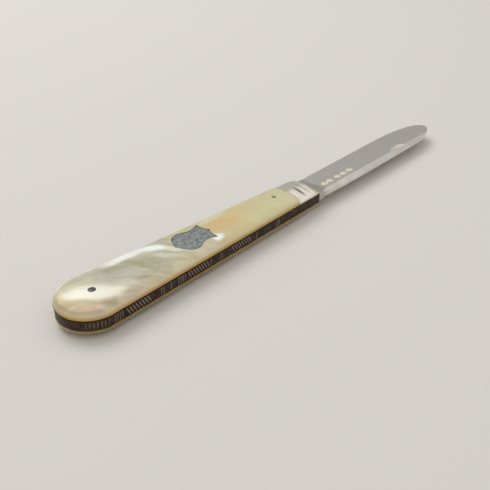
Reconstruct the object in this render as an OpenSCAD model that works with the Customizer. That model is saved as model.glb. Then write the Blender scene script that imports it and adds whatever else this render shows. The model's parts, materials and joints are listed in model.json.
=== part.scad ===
// Slip-joint folding fruit knife with one blade, mother-of-pearl scales and silver bolsters.
// The knife lies open on its pile side: X runs along it to the tip, Y to the slot side, Z up.
// Inside the modules X = 0, Y = 0 is the pivot's axis, and at_rest() carries that to the frame.

/* [Handle] */
// Length of the handle, from the butt to the front of the bolsters
handle_len = 72.6; // [68:0.2:80]
// Radius of the round butt
butt_r = 7.45; // [6.8:0.05:8]
// How far the butt's centre lies to the slot side of the pivot
butt_offset = 1.15; // [0.6:0.05:1.6]
// Angle by which the back edge draws in towards the bolsters, in degrees
back_taper = 0.75; // [0:0.25:1.5]
// Angle by which the slot edge draws in towards the bolsters, in degrees
slot_taper = 4.25; // [3.5:0.25:4.75]
// Distance from the pivot's axis to the front of the bolsters
pivot_setback = 4; // [3.6:0.1:5]
// Radius of the front corner on the slot side, seen from above
front_corner_r = 2; // [1.9:0.1:2.4]

/* [Scales] */
// Thickness of each mother-of-pearl scale
scale_t = 1.8; // [1.6:0.1:2.6]
// Radius that rounds the outer edges of the scales
scale_round = 1.5; // [1:0.1:1.5]

/* [Liners] */
// Thickness of each brass liner
liner_t = 0.35; // [0.3:0.05:0.6]
// How far the liners stand out past the scales
liner_proud = 0.06; // [0:0.02:0.1]

/* [Bolsters] */
// Length of each bolster along the handle
bolster_len = 7.7; // [6:0.1:9]
// Thickness of each bolster
bolster_t = 1.5; // [1.4:0.1:1.8]
// Radius that rounds the outer edges of the bolsters
bolster_round = 1.35; // [0.8:0.05:1.35]
// Places of the cross grooves, forward of the pivot's axis
groove_at = [-2.5, -0.2, 1.7];
// Radii of the three cross grooves
groove_r = [0.3, 0.65, 0.3];
// Depths of the three cross grooves
groove_depth = [0.16, 0.36, 0.16];

/* [Spring] */
// Thickness of the back spring, which is also the width of the slot
spring_t = 2.1; // [1.8:0.1:2.6]
// Depth of the spring's nose, from the back edge to the face that holds the tang
nose_depth = 1.97; // [1.6:0.01:2.3]
// Length of the nose's face behind the pivot's axis
nose_back = 4.6; // [4:0.1:6]
// How far the thin front arm's inner face lies below the nose's face
arm_relief = 0.35; // [0.2:0.05:0.6]
// Distance from the pivot's axis back to the centre pin
centre_pin_back = 33; // [28:0.5:36]
// Half the length of the lug that the centre pin passes through
lug_half = 2.6; // [2.2:0.1:4]
// How far the lug's inner face lies inside the centre pin's axis
lug_wall = 1.4; // [1.1:0.1:1.6]
// Distance from the spring's back edge in to the centre pin's axis
centre_pin_in = 2; // [1.8:0.1:2.2]
// Depth of the cuts filed and engraved in the spring's back
cut_depth = 0.14; // [0.08:0.02:0.2]
// Distance from one slanted stroke of the engraving to the next
stroke_pitch = 0.78; // [0.6:0.02:1]
// Lean of the slanted strokes towards the butt, in degrees from upright
stroke_lean = 28; // [15:1:40]
// Where each run of slanted strokes begins, behind the pivot's axis
stroke_runs = [57.6, 40.9, 27.4];
// Number of slanted strokes in each run
strokes_per_run = 8; // [5:1:9]
// Distance from one upright cut to the next in a bundle of them
bar_pitch = 0.62; // [0.5:0.02:0.8]
// Where each bundle of upright cuts begins, behind the pivot's axis
bar_bundles = [60.9, 48.9, 46.2, 44.1, 34.5, 31.6, 19.6, 12.2];
// Number of upright cuts in each bundle
bars_in_bundle = [4, 2, 1, 4, 1, 2, 1, 2];
// Angle from one fine cut round the butt to the next, in degrees
butt_cut_step = 6; // [4:0.5:8]
// Number of fine cuts round the butt
butt_cuts = 7; // [0:1:8]

/* [Blade] */
// Distance from the pivot's axis to the blade's tip
blade_reach = 60.8; // [57:0.2:63]
// Distance from the pivot's axis to the line of the blade's edge, at its widest
edge_out = 4; // [3.8:0.1:4.8]
// Distance from the pivot's axis to the line of the blade's back
back_out = 5.6; // [5:0.1:5.8]
// Thickness of the tang
tang_t = 2; // [1.7:0.05:2.05]
// How far the tang's round part lifts the spring's nose as the blade turns
cam_lift = 0.4; // [0.2:0.05:0.6]
// Angle through which the blade turns to close, in degrees
closing_turn = 174; // [172:0.5:175]
// Slope of each ground face from the back to the edge, in degrees
grind_slope = 3.4; // [2:0.1:3.5]
// Slope of each ground face from the tang to the tip, in degrees
distal_slope = 0.3; // [0:0.05:0.4]
// Where the flat of each ground face begins, forward of the pivot's axis
grind_start = 8.4; // [7.5:0.1:12]
// Radius of the grinding wheel that leaves the curved shoulder
wheel_r = 9; // [5:0.5:15]
// Width of the bevel along the blade's back
swage_w = 1.5; // [0.8:0.1:2.2]
// Slope of that bevel, in degrees
swage_slope = 15; // [8:1:22]
// Distance from the pivot's axis to the middle of the nail nick
nick_at = 41.6; // [36:0.2:46]
// Distance of the nail nick from the blade's back
nick_in = 2; // [1.8:0.1:3.2]
// Width of the nail nick
nick_w = 1.5; // [0.7:0.1:1.6]
// Depth of the nail nick
nick_depth = 0.32; // [0.2:0.02:0.36]
// Radius of the cutter that made the nail nick
nick_r = 22; // [12:1:24]
// Places of the plain oval punch marks, forward of the pivot's axis
punch_at = [10.1, 12.3, 15.7, 18.2, 20.9];
// Distance of the punch marks from the blade's back
punch_in = 3.4; // [2.8:0.1:4]
// Length of a punch mark along the blade
punch_len = 2.1; // [1.6:0.1:2.1]
// Width of a punch mark across the blade
punch_w = 1.9; // [1:0.1:2]

/* [Pins] */
// Radius of the pivot pin
pivot_r = 1.3; // [1:0.05:1.5]
// Radius of the butt pin
butt_pin_r = 0.82; // [0.6:0.02:1]
// How far the butt pin lies in front of the round butt's centre
butt_pin_in = 0.45; // [0:0.05:2]
// Height of the butt pin's low crown on the mark side
butt_pin_crown = 0.12; // [0.05:0.01:0.2]
// Radius of the centre pin
centre_pin_r = 0.75; // [0.6:0.05:0.9]
// Radius of the short front scale pins
front_pin_r = 0.55; // [0.4:0.05:0.7]
// Distance of the front scale pins behind the pivot's axis
front_pin_back = 7.7; // [6:0.1:10]
// Distance of the front scale pins from the pivot's axis, towards the back edge
front_pin_side = 0.3; // [-1:0.1:1]

/* [Shield] */
// Length of the shield, from its point to its peak
shield_len = 10.3; // [8:0.1:12]
// Half the width of the shield at its widest
shield_half = 3.75; // [3:0.05:4.2]
// Thickness of the shield
shield_t = 0.5; // [0.4:0.05:0.7]
// How far the shield lies below the face of the scale
shield_sink = 0.06; // [0:0.02:0.12]
// Distance from the pivot's axis back to the shield's point
shield_back = 39.1; // [36:0.1:42]
// Distance of the shield's centre line from the pivot's axis, towards the slot
shield_side = 0.5; // [0:0.05:1]
// Radius of each rivet under the shield
rivet_r = 0.4; // [0.3:0.05:0.5]

/* [Fits] */
// Radial clearance of a pin in its hole
pin_fit = 0.02; // [0.01:0.01:0.05]
// Radial clearance of the tang on the pivot pin
pivot_fit = 0.03; // [0.02:0.01:0.08]
// Gap between the tang's flat and the spring's nose
seat_gap = 0.02; // [0.01:0.01:0.05]
// Gap between the blade's shoulder and the spring's end
shoulder_gap = 0.15; // [0.1:0.05:0.3]
// Least room between the closed blade and the spring
closed_room = 0.5; // [0.4:0.05:0.8]
// Gap round the shield in its seat
shield_fit = 0.04; // [0.02:0.01:0.08]

/* [Hidden] */
$fn = 96;
// A cutter reaches this far past the faces that it cuts
over = 1;

// Levels of the stack, from the face that the knife lies on
pile_liner_z = scale_t;
spring_z = pile_liner_z + liner_t;
mark_liner_z = spring_z + spring_t;
mark_scale_z = mark_liner_z + liner_t;
knife_t = mark_scale_z + scale_t;
mid_z = spring_z + spring_t / 2;

// Plan of the handle
front_x = pivot_setback;
butt_x = front_x - handle_len + butt_r;
butt_y = butt_offset;
seam_x = front_x - bolster_len;

// The straight edges meet the round butt at this angle
butt_meet = 6.5;
// The rounding of an edge meets the faces beside it at this angle
edge_meet = 14;
side_out = butt_r * cos(butt_meet);
function back_y(x) = butt_y - side_out / cos(back_taper) + (x - butt_x) * tan(back_taper);
function slot_y(x) = butt_y + side_out / cos(slot_taper) - (x - butt_x) * tan(slot_taper);
function polar(c, r, a) = c + r * [cos(a), sin(a)];

butt_c = [butt_x, butt_y];
butt_pin_c = butt_c + [butt_pin_in, 0];
// The round front corner meets both edges beside it at this angle; its centre is in the slot edge's frame
corner_meet = 14;
corner_side = side_out - front_corner_r * cos(corner_meet);
corner_c = [
    (front_x - front_corner_r * cos(corner_meet) - butt_x - corner_side * sin(slot_taper)) / cos(slot_taper),
    corner_side];

// The frame's origin is the middle of the face that the knife lies on
rest_len = seam_x - (butt_x - butt_r);
rest_mid_x = seam_x - rest_len / 2;
rest_mid_y = (back_y(rest_mid_x) + slot_y(rest_mid_x)) / 2;

// Tang and blade
tang_h = -back_y(0) - nose_depth;
cam_r = tang_h + cam_lift;
closed_flat = 270 - closing_turn;
shoulder_x = front_x + shoulder_gap;
kick_x = front_x + 1;
// Small notch between the kick and the edge
choil_depth = 0.45;
choil_start = 0.25;
choil_end = 1;
edge_start_x = kick_x + 2.2;
tip = [blade_reach, -0.8];
belly_x = blade_reach - 18.2;
drop_x = blade_reach - 13.2;
back_rise_x = 26;

// Points on the flat that bears on the spring when the blade is closed
function closed_flat_y(x) = (tang_h - seat_gap - x * cos(closed_flat)) / sin(closed_flat);

// A cubic curve through a and d, pulled towards b and c
function cubic(a, b, c, d, n = 12) =
    [for (i = [0 : n]) let (t = i / n, s = 1 - t)
        s * s * s * a + 3 * s * s * t * b + 3 * s * t * t * c + t * t * t * d];

// Blade's back, from the shoulder to the tip
back_curve = concat(
    cubic([shoulder_x, 0.65 - back_out], [11, 0.2 - back_out], [18, -back_out - 0.05],
        [back_rise_x, -back_out - 0.05]),
    cubic([drop_x, -back_out], [blade_reach - 5.2, 0.1 - back_out], [blade_reach, -3.2], tip, 14));
// Belly of the blade's edge, from the tip back, and then the edge's straight part to the choil
belly_curve = cubic(tip, [blade_reach, 2.6], [blade_reach - 9.7, edge_out], [belly_x, edge_out], 18);
edge_line = [[edge_start_x + 6, edge_out - 0.25], [edge_start_x, edge_out - 0.35]];

function turned(p, a) = [p[0] * cos(a) - p[1] * sin(a), p[0] * sin(a) + p[1] * cos(a)];
// Edge of the closed blade over the spring's tail, moved out by the room that it needs
tail_curve = [for (i = [len(belly_curve) - 1 : -1 : 0])
    turned(belly_curve[i], closing_turn) - [closed_room, closed_room]];
arm_y = -tang_h - arm_relief;
lug_x = -centre_pin_back;
lug_y = back_y(lug_x) + centre_pin_in;
tail_x = tail_curve[0][0] + 4;

// Ground faces of the blade, above and below its middle plane
ground_half = tang_t / 2 - 0.04;
function ground_z(x, y) = ground_half - (x - grind_start) * tan(distal_slope)
    - (y + back_out) * tan(grind_slope);
swage_start = 5;
swage_start_angle = 55;
// The nail nick's wall towards the edge leans by this share of the nick's depth
nick_lean = 0.8;
nick_y = nick_in - back_out;
punch_y = punch_in - back_out;
punch_depth = 0.12;

// Spring: the nose's step, the flanks of the centre pin's lug and the cuts in the back
nose_step = 0.8;
lug_flank = 1.4;
butt_cut_start = 267;
stroke_w = 1.7 * cut_depth;

// Shield
shield_c = [-shield_back, shield_side];
shield_top = knife_t - shield_sink;
rivet_at = [shield_len * 0.26, shield_len * 0.74];

// Carries the pivot's axis to its place from the middle of the resting face
module at_rest() {
    translate([-rest_mid_x, -rest_mid_y, 0]) children();
}

// Turns a mark side piece over to the pile side
module pile_side() {
    translate([0, 0, knife_t]) mirror([0, 0, 1]) children();
}

// The frame of the back edge: its X axis runs beside that edge from the butt's centre
module along_back() {
    translate(butt_c) rotate([0, 0, back_taper]) children();
}

// The frame of the slot edge: its X axis runs beside that edge from the butt's centre
module along_slot() {
    translate(butt_c) rotate([0, 0, -slot_taper]) children();
}

// Plan of the handle, grown by a small amount all round
module handle_plan(grow = 0) {
    r = butt_r + grow;
    side = side_out + grow;
    difference() {
        intersection() {
            along_back() translate([-2 * r, -side]) square([2 * handle_len, 2 * side]);
            along_slot() front_corner(grow) translate([-2 * r, -side]) square([2 * handle_len, 2 * side]);
            translate([front_x - 2 * handle_len, -handle_len]) square([2 * handle_len, 2 * handle_len]);
        }
        translate(butt_c) difference() {
            translate([-3 * r, -2 * r]) square([3 * r, 4 * r]);
            circle(r = r);
        }
    }
}

// Rounds the corner where the slot edge meets the front, in the slot edge's frame
module front_corner(grow) {
    reach = butt_r + handle_len;
    difference() {
        children();
        difference() {
            translate(corner_c) square([reach, reach]);
            translate(corner_c) circle(r = front_corner_r + grow);
        }
    }
}

// Profile that rounds an edge at a radius about an axis, level with the top of the piece
module round_profile(radius, r) {
    in = r * cos(edge_meet);
    difference() {
        translate([radius - in, -in]) square([in + over, in + over]);
        translate([radius - in, -in]) circle(r = r);
    }
}

// Bar that rounds a straight edge, which runs along X at Y = 0 with the piece at negative Y
module round_bar(run, r) {
    in = r * cos(edge_meet);
    difference() {
        translate([0, -in, -in]) cube([run, in + over, in + over]);
        translate([-over, -in, -in]) rotate([0, 90, 0]) cylinder(h = run + 2 * over, r = r);
    }
}

// Takes the outer corner off the butt and both sides of a slab on the mark side
module round_sides(r, top) {
    block = 3 * butt_r;
    lap = butt_r / 4;
    translate([0, 0, top]) {
        along_back() translate([-lap, -side_out, 0]) mirror([0, 1, 0]) round_bar(handle_len + lap, r);
        along_slot() translate([-lap, side_out, 0]) round_bar(corner_c[0] + front_corner_r + lap, r);
        translate(butt_c)
            difference() {
                rotate_extrude() round_profile(butt_r, r);
                translate([0, -block / 2, -block / 2]) cube([block, block, block]);
            }
    }
}

// Takes the outer corner off the front of a slab on the mark side, and off its round corner
module round_front(r, top) {
    translate([0, 0, top]) {
        along_slot() translate(corner_c)
            intersection() {
                rotate_extrude() round_profile(front_corner_r, r);
                translate([0, 0, -butt_r]) cube([butt_r, butt_r, 2 * butt_r]);
            }
        translate([front_x, butt_r, 0]) rotate([0, 0, -90]) round_bar(2 * butt_r, r);
    }
}

// Slab of the handle's plan on the mark side, from the butt to the seam or from there to the front
module handle_slab(thickness, x0, x1) {
    intersection() {
        translate([0, 0, mark_scale_z]) linear_extrude(height = thickness) handle_plan();
        translate([x0, -handle_len, 0]) cube([x1 - x0, 2 * handle_len, 2 * knife_t]);
    }
}

// Pearl scale as it lies on the mark side, without its shield
module scale_body() {
    difference() {
        handle_slab(scale_t, seam_x - 2 * handle_len, seam_x);
        round_sides(scale_round, knife_t);
        pin_hole(butt_pin_c, butt_pin_r);
        pin_hole(front_pin_c(), front_pin_r);
    }
}

function front_pin_c() = [-front_pin_back, -front_pin_side];

// Straight hole right through the stack
module pin_hole(at, r) {
    translate([at[0], at[1], -over]) cylinder(h = knife_t + 2 * over, r = r + pin_fit, $fn = 48);
}

// Liner as it lies on the mark side
module liner_body() {
    difference() {
        translate([0, 0, mark_liner_z]) linear_extrude(height = liner_t) handle_plan(liner_proud);
        pin_hole(butt_pin_c, butt_pin_r);
        pin_hole([0, 0], pivot_r);
        pin_hole([lug_x, lug_y], centre_pin_r);
        pin_hole(front_pin_c(), front_pin_r);
    }
}

// Bolster as it lies on the mark side
module bolster_body() {
    top = mark_scale_z + bolster_t;
    difference() {
        handle_slab(bolster_t, seam_x, front_x + over);
        round_sides(bolster_round, top);
        round_front(bolster_round, top);
        bolster_grooves();
        pin_hole([0, 0], pivot_r);
    }
}

// Cutters of the grooves across the bolster on the mark side
module bolster_grooves() {
    for (i = [0 : len(groove_at) - 1])
        translate([groove_at[i], back_y(0) - over, mark_scale_z + bolster_t + groove_r[i] - groove_depth[i]])
            rotate([-90, 0, 0])
                cylinder(h = butt_r * 2, r = groove_r[i], $fn = 32);
}

// Half of the shield's outline, from its point to its peak
function shield_side_points(l, w) = concat(
    cubic([0, 0], [l * 0.05, w * 0.28], [l * 0.1, w * 0.98], [l * 0.33, w], 8),
    cubic([l * 0.33, w], [l * 0.48, w], [l * 0.52, w * 0.74], [l * 0.66, w * 0.74], 6),
    cubic([l * 0.66, w * 0.74], [l * 0.78, w * 0.74], [l * 0.84, w * 0.84], [l * 0.92, w * 0.94], 4),
    cubic([l * 0.92, w * 0.94], [l * 0.9, w * 0.6], [l * 0.92, w * 0.25], [l, 0], 6));

module shield_plan(grow = 0) {
    half = shield_side_points(shield_len + 2 * grow, shield_half + grow);
    other = [for (i = [len(half) - 2 : -1 : 1]) [half[i][0], -half[i][1]]];
    translate(shield_c - [grow, 0]) polygon(concat(half, other));
}

module rivet_places() {
    for (x = rivet_at) translate([shield_c[0] + x, shield_c[1], 0]) children();
}

// Holes of the shield's rivets, through the mark side liner and scale
module rivet_holes() {
    rivet_places() translate([0, 0, mark_liner_z - over]) cylinder(h = knife_t, r = rivet_r + pin_fit, $fn = 32);
}

module spring_plan() {
    intersection() {
        handle_plan();
        polygon(concat(
            [[front_x, -tang_h], [-nose_back, -tang_h], [-nose_back - nose_step, arm_y]],
            [[lug_x + lug_half + lug_flank, arm_y], [lug_x + lug_half, lug_y + lug_wall]],
            [[lug_x - lug_half, lug_y + lug_wall], [lug_x - lug_half - lug_flank, arm_y]],
            [[tail_x, arm_y]],
            tail_curve,
            [[tail_curve[len(tail_curve) - 1][0], butt_y + butt_r + over]],
            [[butt_x - butt_r - over, butt_y + butt_r + over]],
            [[butt_x - butt_r - over, butt_y - butt_r - over]],
            [[front_x, back_y(front_x) - over]]));
    }
}

// Upright cuts in the spring's back, as notches in its plan
module upright_notches() {
    for (b = [0 : len(bar_bundles) - 1], i = [0 : bars_in_bundle[b] - 1])
        let (x = -bar_bundles[b] + i * bar_pitch)
            translate([x, back_y(x)]) rotate([0, 0, 45]) square(cut_depth * sqrt(2), center = true);
    for (i = [1 : butt_cuts])
        let (a = butt_cut_start - i * butt_cut_step)
            translate(polar(butt_c, butt_r, a)) rotate([0, 0, a + 45]) square(cut_depth * sqrt(2), center = true);
}

// Slanted strokes in the spring's back
module slanted_strokes() {
    for (start = stroke_runs, i = [0 : strokes_per_run - 1])
        let (x = -start + i * stroke_pitch)
            translate([x, back_y(x), mid_z])
                rotate([0, -stroke_lean, 0])
                    rotate([0, 0, 45])
                        cube([stroke_w, stroke_w, 2 * spring_t], center = true);
}

module backspring_body() {
    difference() {
        translate([0, 0, spring_z])
            linear_extrude(height = spring_t)
                difference() {
                    spring_plan();
                    upright_notches();
                }
        slanted_strokes();
        pin_hole(butt_pin_c, butt_pin_r);
        pin_hole([lug_x, lug_y], centre_pin_r);
    }
}

// Outline of the blade, whose round tang has two flats: one for open, one for closed
module blade_plan() {
    kick = [kick_x, closed_flat_y(kick_x)];
    flat_end = (choil_start + choil_end) / 2 + kick_x;
    span = 4 * cam_r;
    difference() {
        union() {
            circle(r = cam_r);
            polygon(concat(
                [back_curve[0] - [shoulder_x, 0]],
                back_curve,
                [for (i = [1 : len(belly_curve) - 1]) belly_curve[i]],
                edge_line,
                [kick + [choil_end, -choil_depth], kick + [choil_start, -choil_depth]],
                [kick + [0, over], [0, cam_r + over]]));
        }
        translate([shoulder_x - span, seat_gap - tang_h - span]) square([span, span]);
        polygon([
            [-span, closed_flat_y(-span)],
            [flat_end, closed_flat_y(flat_end)],
            [flat_end, span],
            [-span, span]]);
    }
}

// Space above one ground face, with the curved shoulder that the wheel leaves
module ground_off() {
    translate([grind_start, -back_out, ground_half])
        rotate([-grind_slope, distal_slope, 0])
            union() {
                translate([0, -2 * over, 0]) cube([blade_reach, 3 * back_out, tang_t]);
                translate([0, -2 * over, wheel_r]) rotate([-90, 0, 0]) cylinder(h = 3 * back_out, r = wheel_r);
            }
}

// Space above the bevel along the blade's back
module swage_off() {
    translate([swage_start, swage_w - back_out, ground_z(swage_start, swage_w - back_out)])
        rotate([0, distal_slope, 0])
            rotate([swage_slope, 0, 0])
                difference() {
                    translate([0, -2 * back_out, 0]) cube([blade_reach, 2 * back_out, tang_t]);
                    rotate([0, 0, swage_start_angle]) translate([-blade_reach, -blade_reach / 2, -over])
                        cube([blade_reach, blade_reach, tang_t + 2 * over]);
                }
}

module nail_nick() {
    translate([nick_at, nick_y, ground_z(nick_at, nick_y) - nick_depth])
        rotate([-grind_slope, 0, 0])
            translate([0, -nick_w / 2, nick_r])
                rotate([-90, 0, 0])
                    cylinder(h = nick_w, r1 = nick_r, r2 = nick_r - nick_depth * nick_lean, $fn = 160);
}

module punch_marks() {
    for (x = punch_at)
        translate([x, punch_y, ground_z(x, punch_y) - punch_depth])
            rotate([-grind_slope, 0, 0])
                union() {
                    for (s = [-1, 1])
                        translate([s * (punch_len - punch_w) / 2, 0, 0])
                            cylinder(h = over, r = punch_w / 2, $fn = 24);
                }
}

module blade_body() {
    translate([0, 0, mid_z])
        difference() {
            translate([0, 0, -tang_t / 2]) linear_extrude(height = tang_t) blade_plan();
            ground_off();
            mirror([0, 0, 1]) ground_off();
            swage_off();
            mirror([0, 0, 1]) swage_off();
            nail_nick();
            punch_marks();
            translate([0, 0, -tang_t]) cylinder(h = 2 * tang_t, r = pivot_r + pivot_fit, $fn = 64);
        }
}

module pile_side_scale() {
    color("#cfc9b4") at_rest() pile_side() scale_body();
}

module mark_side_scale() {
    color("#d9d0b0") at_rest()
        difference() {
            scale_body();
            translate([0, 0, shield_top - shield_t]) linear_extrude(height = scale_t) shield_plan(shield_fit);
            rivet_holes();
        }
}

module pile_side_liner() {
    color("#b08d3c") at_rest() pile_side() liner_body();
}

module mark_side_liner() {
    color("#a07c34") at_rest()
        difference() {
            liner_body();
            rivet_holes();
        }
}

module pile_side_bolster() {
    color("#c9c4ba") at_rest() pile_side() bolster_body();
}

module mark_side_bolster() {
    color("#d2cdc2") at_rest() bolster_body();
}

module backspring() {
    color("#6b5f55") at_rest() backspring_body();
}

module blade() {
    color("#b3b0a8") at_rest() blade_body();
}

module shield() {
    color("#7d8282") at_rest()
        translate([0, 0, shield_top - shield_t]) linear_extrude(height = shield_t) shield_plan();
}

module shield_rivets() {
    color("#8a8f90") at_rest()
        rivet_places() translate([0, 0, mark_liner_z])
            cylinder(h = shield_top - shield_t - mark_liner_z, r = rivet_r, $fn = 32);
}

// The pivot pin is spun flush, so the bolsters' grooves run across its ends too
module pivot_pin() {
    low = scale_t - bolster_t;
    color("#c9c4ba") at_rest()
        difference() {
            translate([0, 0, low]) cylinder(h = knife_t - 2 * low, r = pivot_r, $fn = 64);
            bolster_grooves();
            pile_side() bolster_grooves();
        }
}

module butt_pin() {
    crown_r = (butt_pin_r * butt_pin_r + butt_pin_crown * butt_pin_crown) / (2 * butt_pin_crown);
    color("#4d4f49") at_rest() translate([butt_pin_c[0], butt_pin_c[1], 0])
        union() {
            cylinder(h = knife_t, r = butt_pin_r, $fn = 48);
            intersection() {
                translate([0, 0, knife_t - butt_pin_crown]) cylinder(h = over, r = butt_pin_r, $fn = 48);
                translate([0, 0, knife_t + butt_pin_crown - crown_r]) sphere(r = crown_r, $fn = 64);
            }
        }
}

module centre_pin() {
    color("#8f8a80") at_rest() translate([lug_x, lug_y, pile_liner_z])
        cylinder(h = knife_t - 2 * scale_t, r = centre_pin_r, $fn = 48);
}

module front_pin_body() {
    translate([front_pin_c()[0], front_pin_c()[1], mark_liner_z])
        cylinder(h = knife_t - mark_liner_z, r = front_pin_r, $fn = 48);
}

module mark_side_front_pin() {
    color("#6a6a60") at_rest() front_pin_body();
}

module pile_side_front_pin() {
    color("#6a6a60") at_rest() pile_side() front_pin_body();
}

pile_side_scale();
pile_side_liner();
pile_side_bolster();
backspring();
blade();
mark_side_liner();
mark_side_bolster();
mark_side_scale();
shield();
shield_rivets();
pivot_pin();
butt_pin();
centre_pin();
mark_side_front_pin();
pile_side_front_pin();
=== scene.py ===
"""Slip-joint folding fruit knife with mother-of-pearl scales, silver bolsters and one silver blade.

The knife lies open on its pile side, with X along it to the tip, Y to the slot side and Z up.
Sizes are millimetres. Plans are drawn from the pivot's axis, heights from the resting face, and
each finished piece is carried to the frame and turned to metres when it is placed.
"""

import json
import logging
import math
from dataclasses import dataclass
from enum import Enum
from typing import Iterable, Sequence

import bmesh
import bpy
from bmesh.types import BMEdge, BMesh, BMFace, BMVert
from mathutils import Matrix, Vector
from mathutils.geometry import interpolate_bezier


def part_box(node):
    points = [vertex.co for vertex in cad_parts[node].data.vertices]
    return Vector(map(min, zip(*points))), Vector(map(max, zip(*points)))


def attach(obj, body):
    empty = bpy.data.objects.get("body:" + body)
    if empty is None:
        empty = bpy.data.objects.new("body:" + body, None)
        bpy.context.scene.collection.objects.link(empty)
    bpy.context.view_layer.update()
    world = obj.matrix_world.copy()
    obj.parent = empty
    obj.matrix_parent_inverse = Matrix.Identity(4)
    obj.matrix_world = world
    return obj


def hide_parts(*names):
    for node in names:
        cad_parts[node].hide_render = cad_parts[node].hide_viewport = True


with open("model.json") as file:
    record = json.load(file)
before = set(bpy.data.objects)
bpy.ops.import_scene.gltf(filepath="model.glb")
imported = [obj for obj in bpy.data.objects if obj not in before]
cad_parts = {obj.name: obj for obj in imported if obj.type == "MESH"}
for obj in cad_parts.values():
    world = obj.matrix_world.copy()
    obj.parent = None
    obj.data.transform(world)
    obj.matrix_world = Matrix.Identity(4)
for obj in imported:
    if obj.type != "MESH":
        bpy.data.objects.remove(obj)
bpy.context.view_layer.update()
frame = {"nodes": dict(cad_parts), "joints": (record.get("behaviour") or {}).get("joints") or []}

LOG = logging.getLogger("fruit_knife")
MM = 0.001
PER_MM = 1 / MM
HINGE = Vector(frame["joints"][0]["pos_m"]) / MM
MIDDLE_Z = HINGE.z
# How far a cutter stands out past the metal
OVERCUT = 1.0
# Vertices as near as this are merged
WELD = 1e-4
# The ways along and across the knife, and the mirror that swaps its mark and pile sides
ALONG = Vector((1, 0, 0))
ACROSS = Vector((0, 1, 0))
TOP_TO_BOTTOM = Matrix.Diagonal((1, 1, -1, 1))

# Sockets of the Mix node in its colour form
MIX_A, MIX_B, MIX_OUT = 6, 7, 2

Colour = tuple[float, float, float, float]
Point = tuple[float, float]
# Places from 0 to 1 along a colour ramp, with their colours as hex
Ramp = tuple[tuple[float, str], ...]


class Side(Enum):
    """The knife's sides: the mark side faces up, and the pile side lies on the floor."""

    MARK = "mark_side"
    PILE = "pile_side"


class Body(Enum):
    """The bodies of the frame that the pieces ride on."""

    HANDLE = "handle"
    BLADE = "blade"


class Slot(Enum):
    """The record's material slots."""

    PEARL = "mother_of_pearl"
    SILVER = "silver"
    WORN_SILVER = "worn_silver"
    SPRING = "spring_steel"
    BRASS = "liner_brass"
    PIN = "pin_steel"


def linear(hex_colour: str) -> Colour:
    """Turns an sRGB hex colour to linear light.

    Args:
        hex_colour: The colour as "#rrggbb".

    Returns:
        Red, green, blue and an alpha of 1.
    """
    parts = [int(hex_colour[i : i + 2], 16) / 255 for i in (1, 3, 5)]
    light = [c / 12.92 if c <= 0.04045 else ((c + 0.055) / 1.055) ** 2.4 for c in parts]
    return (light[0], light[1], light[2], 1.0)


def ramp_stops(ramp: Ramp) -> list[tuple[float, Colour]]:
    """Returns a ramp's places with their colours in linear light."""
    return [(place, linear(colour)) for place, colour in ramp]


def add(
    tree: bpy.types.NodeTree, kind: str, settings: dict | None = None, links: dict | None = None
) -> bpy.types.Node:
    """Adds a node with its settings and its incoming links.

    Args:
        tree: The node tree that gets the node.
        kind: The node's type.
        settings: Values by socket name or number, properties by name, and a ramp's "stops".
        links: Sockets that feed this node's sockets, by name or number.

    Returns:
        The new node.
    """
    node = tree.nodes.new(kind)
    for key, value in (settings or {}).items():
        if key == "stops":
            ramp = node.color_ramp.elements
            while len(ramp) < len(value):
                ramp.new(1.0)
            for stop, (position, colour) in zip(ramp, value):
                stop.position = position
                stop.color = colour
        elif isinstance(key, int) or key in node.inputs:
            node.inputs[key].default_value = value
        else:
            setattr(node, key, value)
    for key, socket in (links or {}).items():
        tree.links.new(socket, node.inputs[key])
    return node


def bare_tree(owner: bpy.types.Material | bpy.types.World) -> bpy.types.NodeTree:
    """Turns on the nodes of a material or a world, and returns its emptied tree."""
    owner.use_nodes = True
    owner.node_tree.nodes.clear()
    return owner.node_tree


def in_millimetres(tree: bpy.types.NodeTree) -> bpy.types.NodeSocket:
    """Returns the Object coordinates in millimetres, so that every pattern has its real size."""
    place = add(tree, "ShaderNodeTexCoord")
    scale = {"Scale": (PER_MM, PER_MM, PER_MM)}
    return add(tree, "ShaderNodeMapping", scale, {"Vector": place.outputs["Object"]}).outputs["Vector"]


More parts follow.
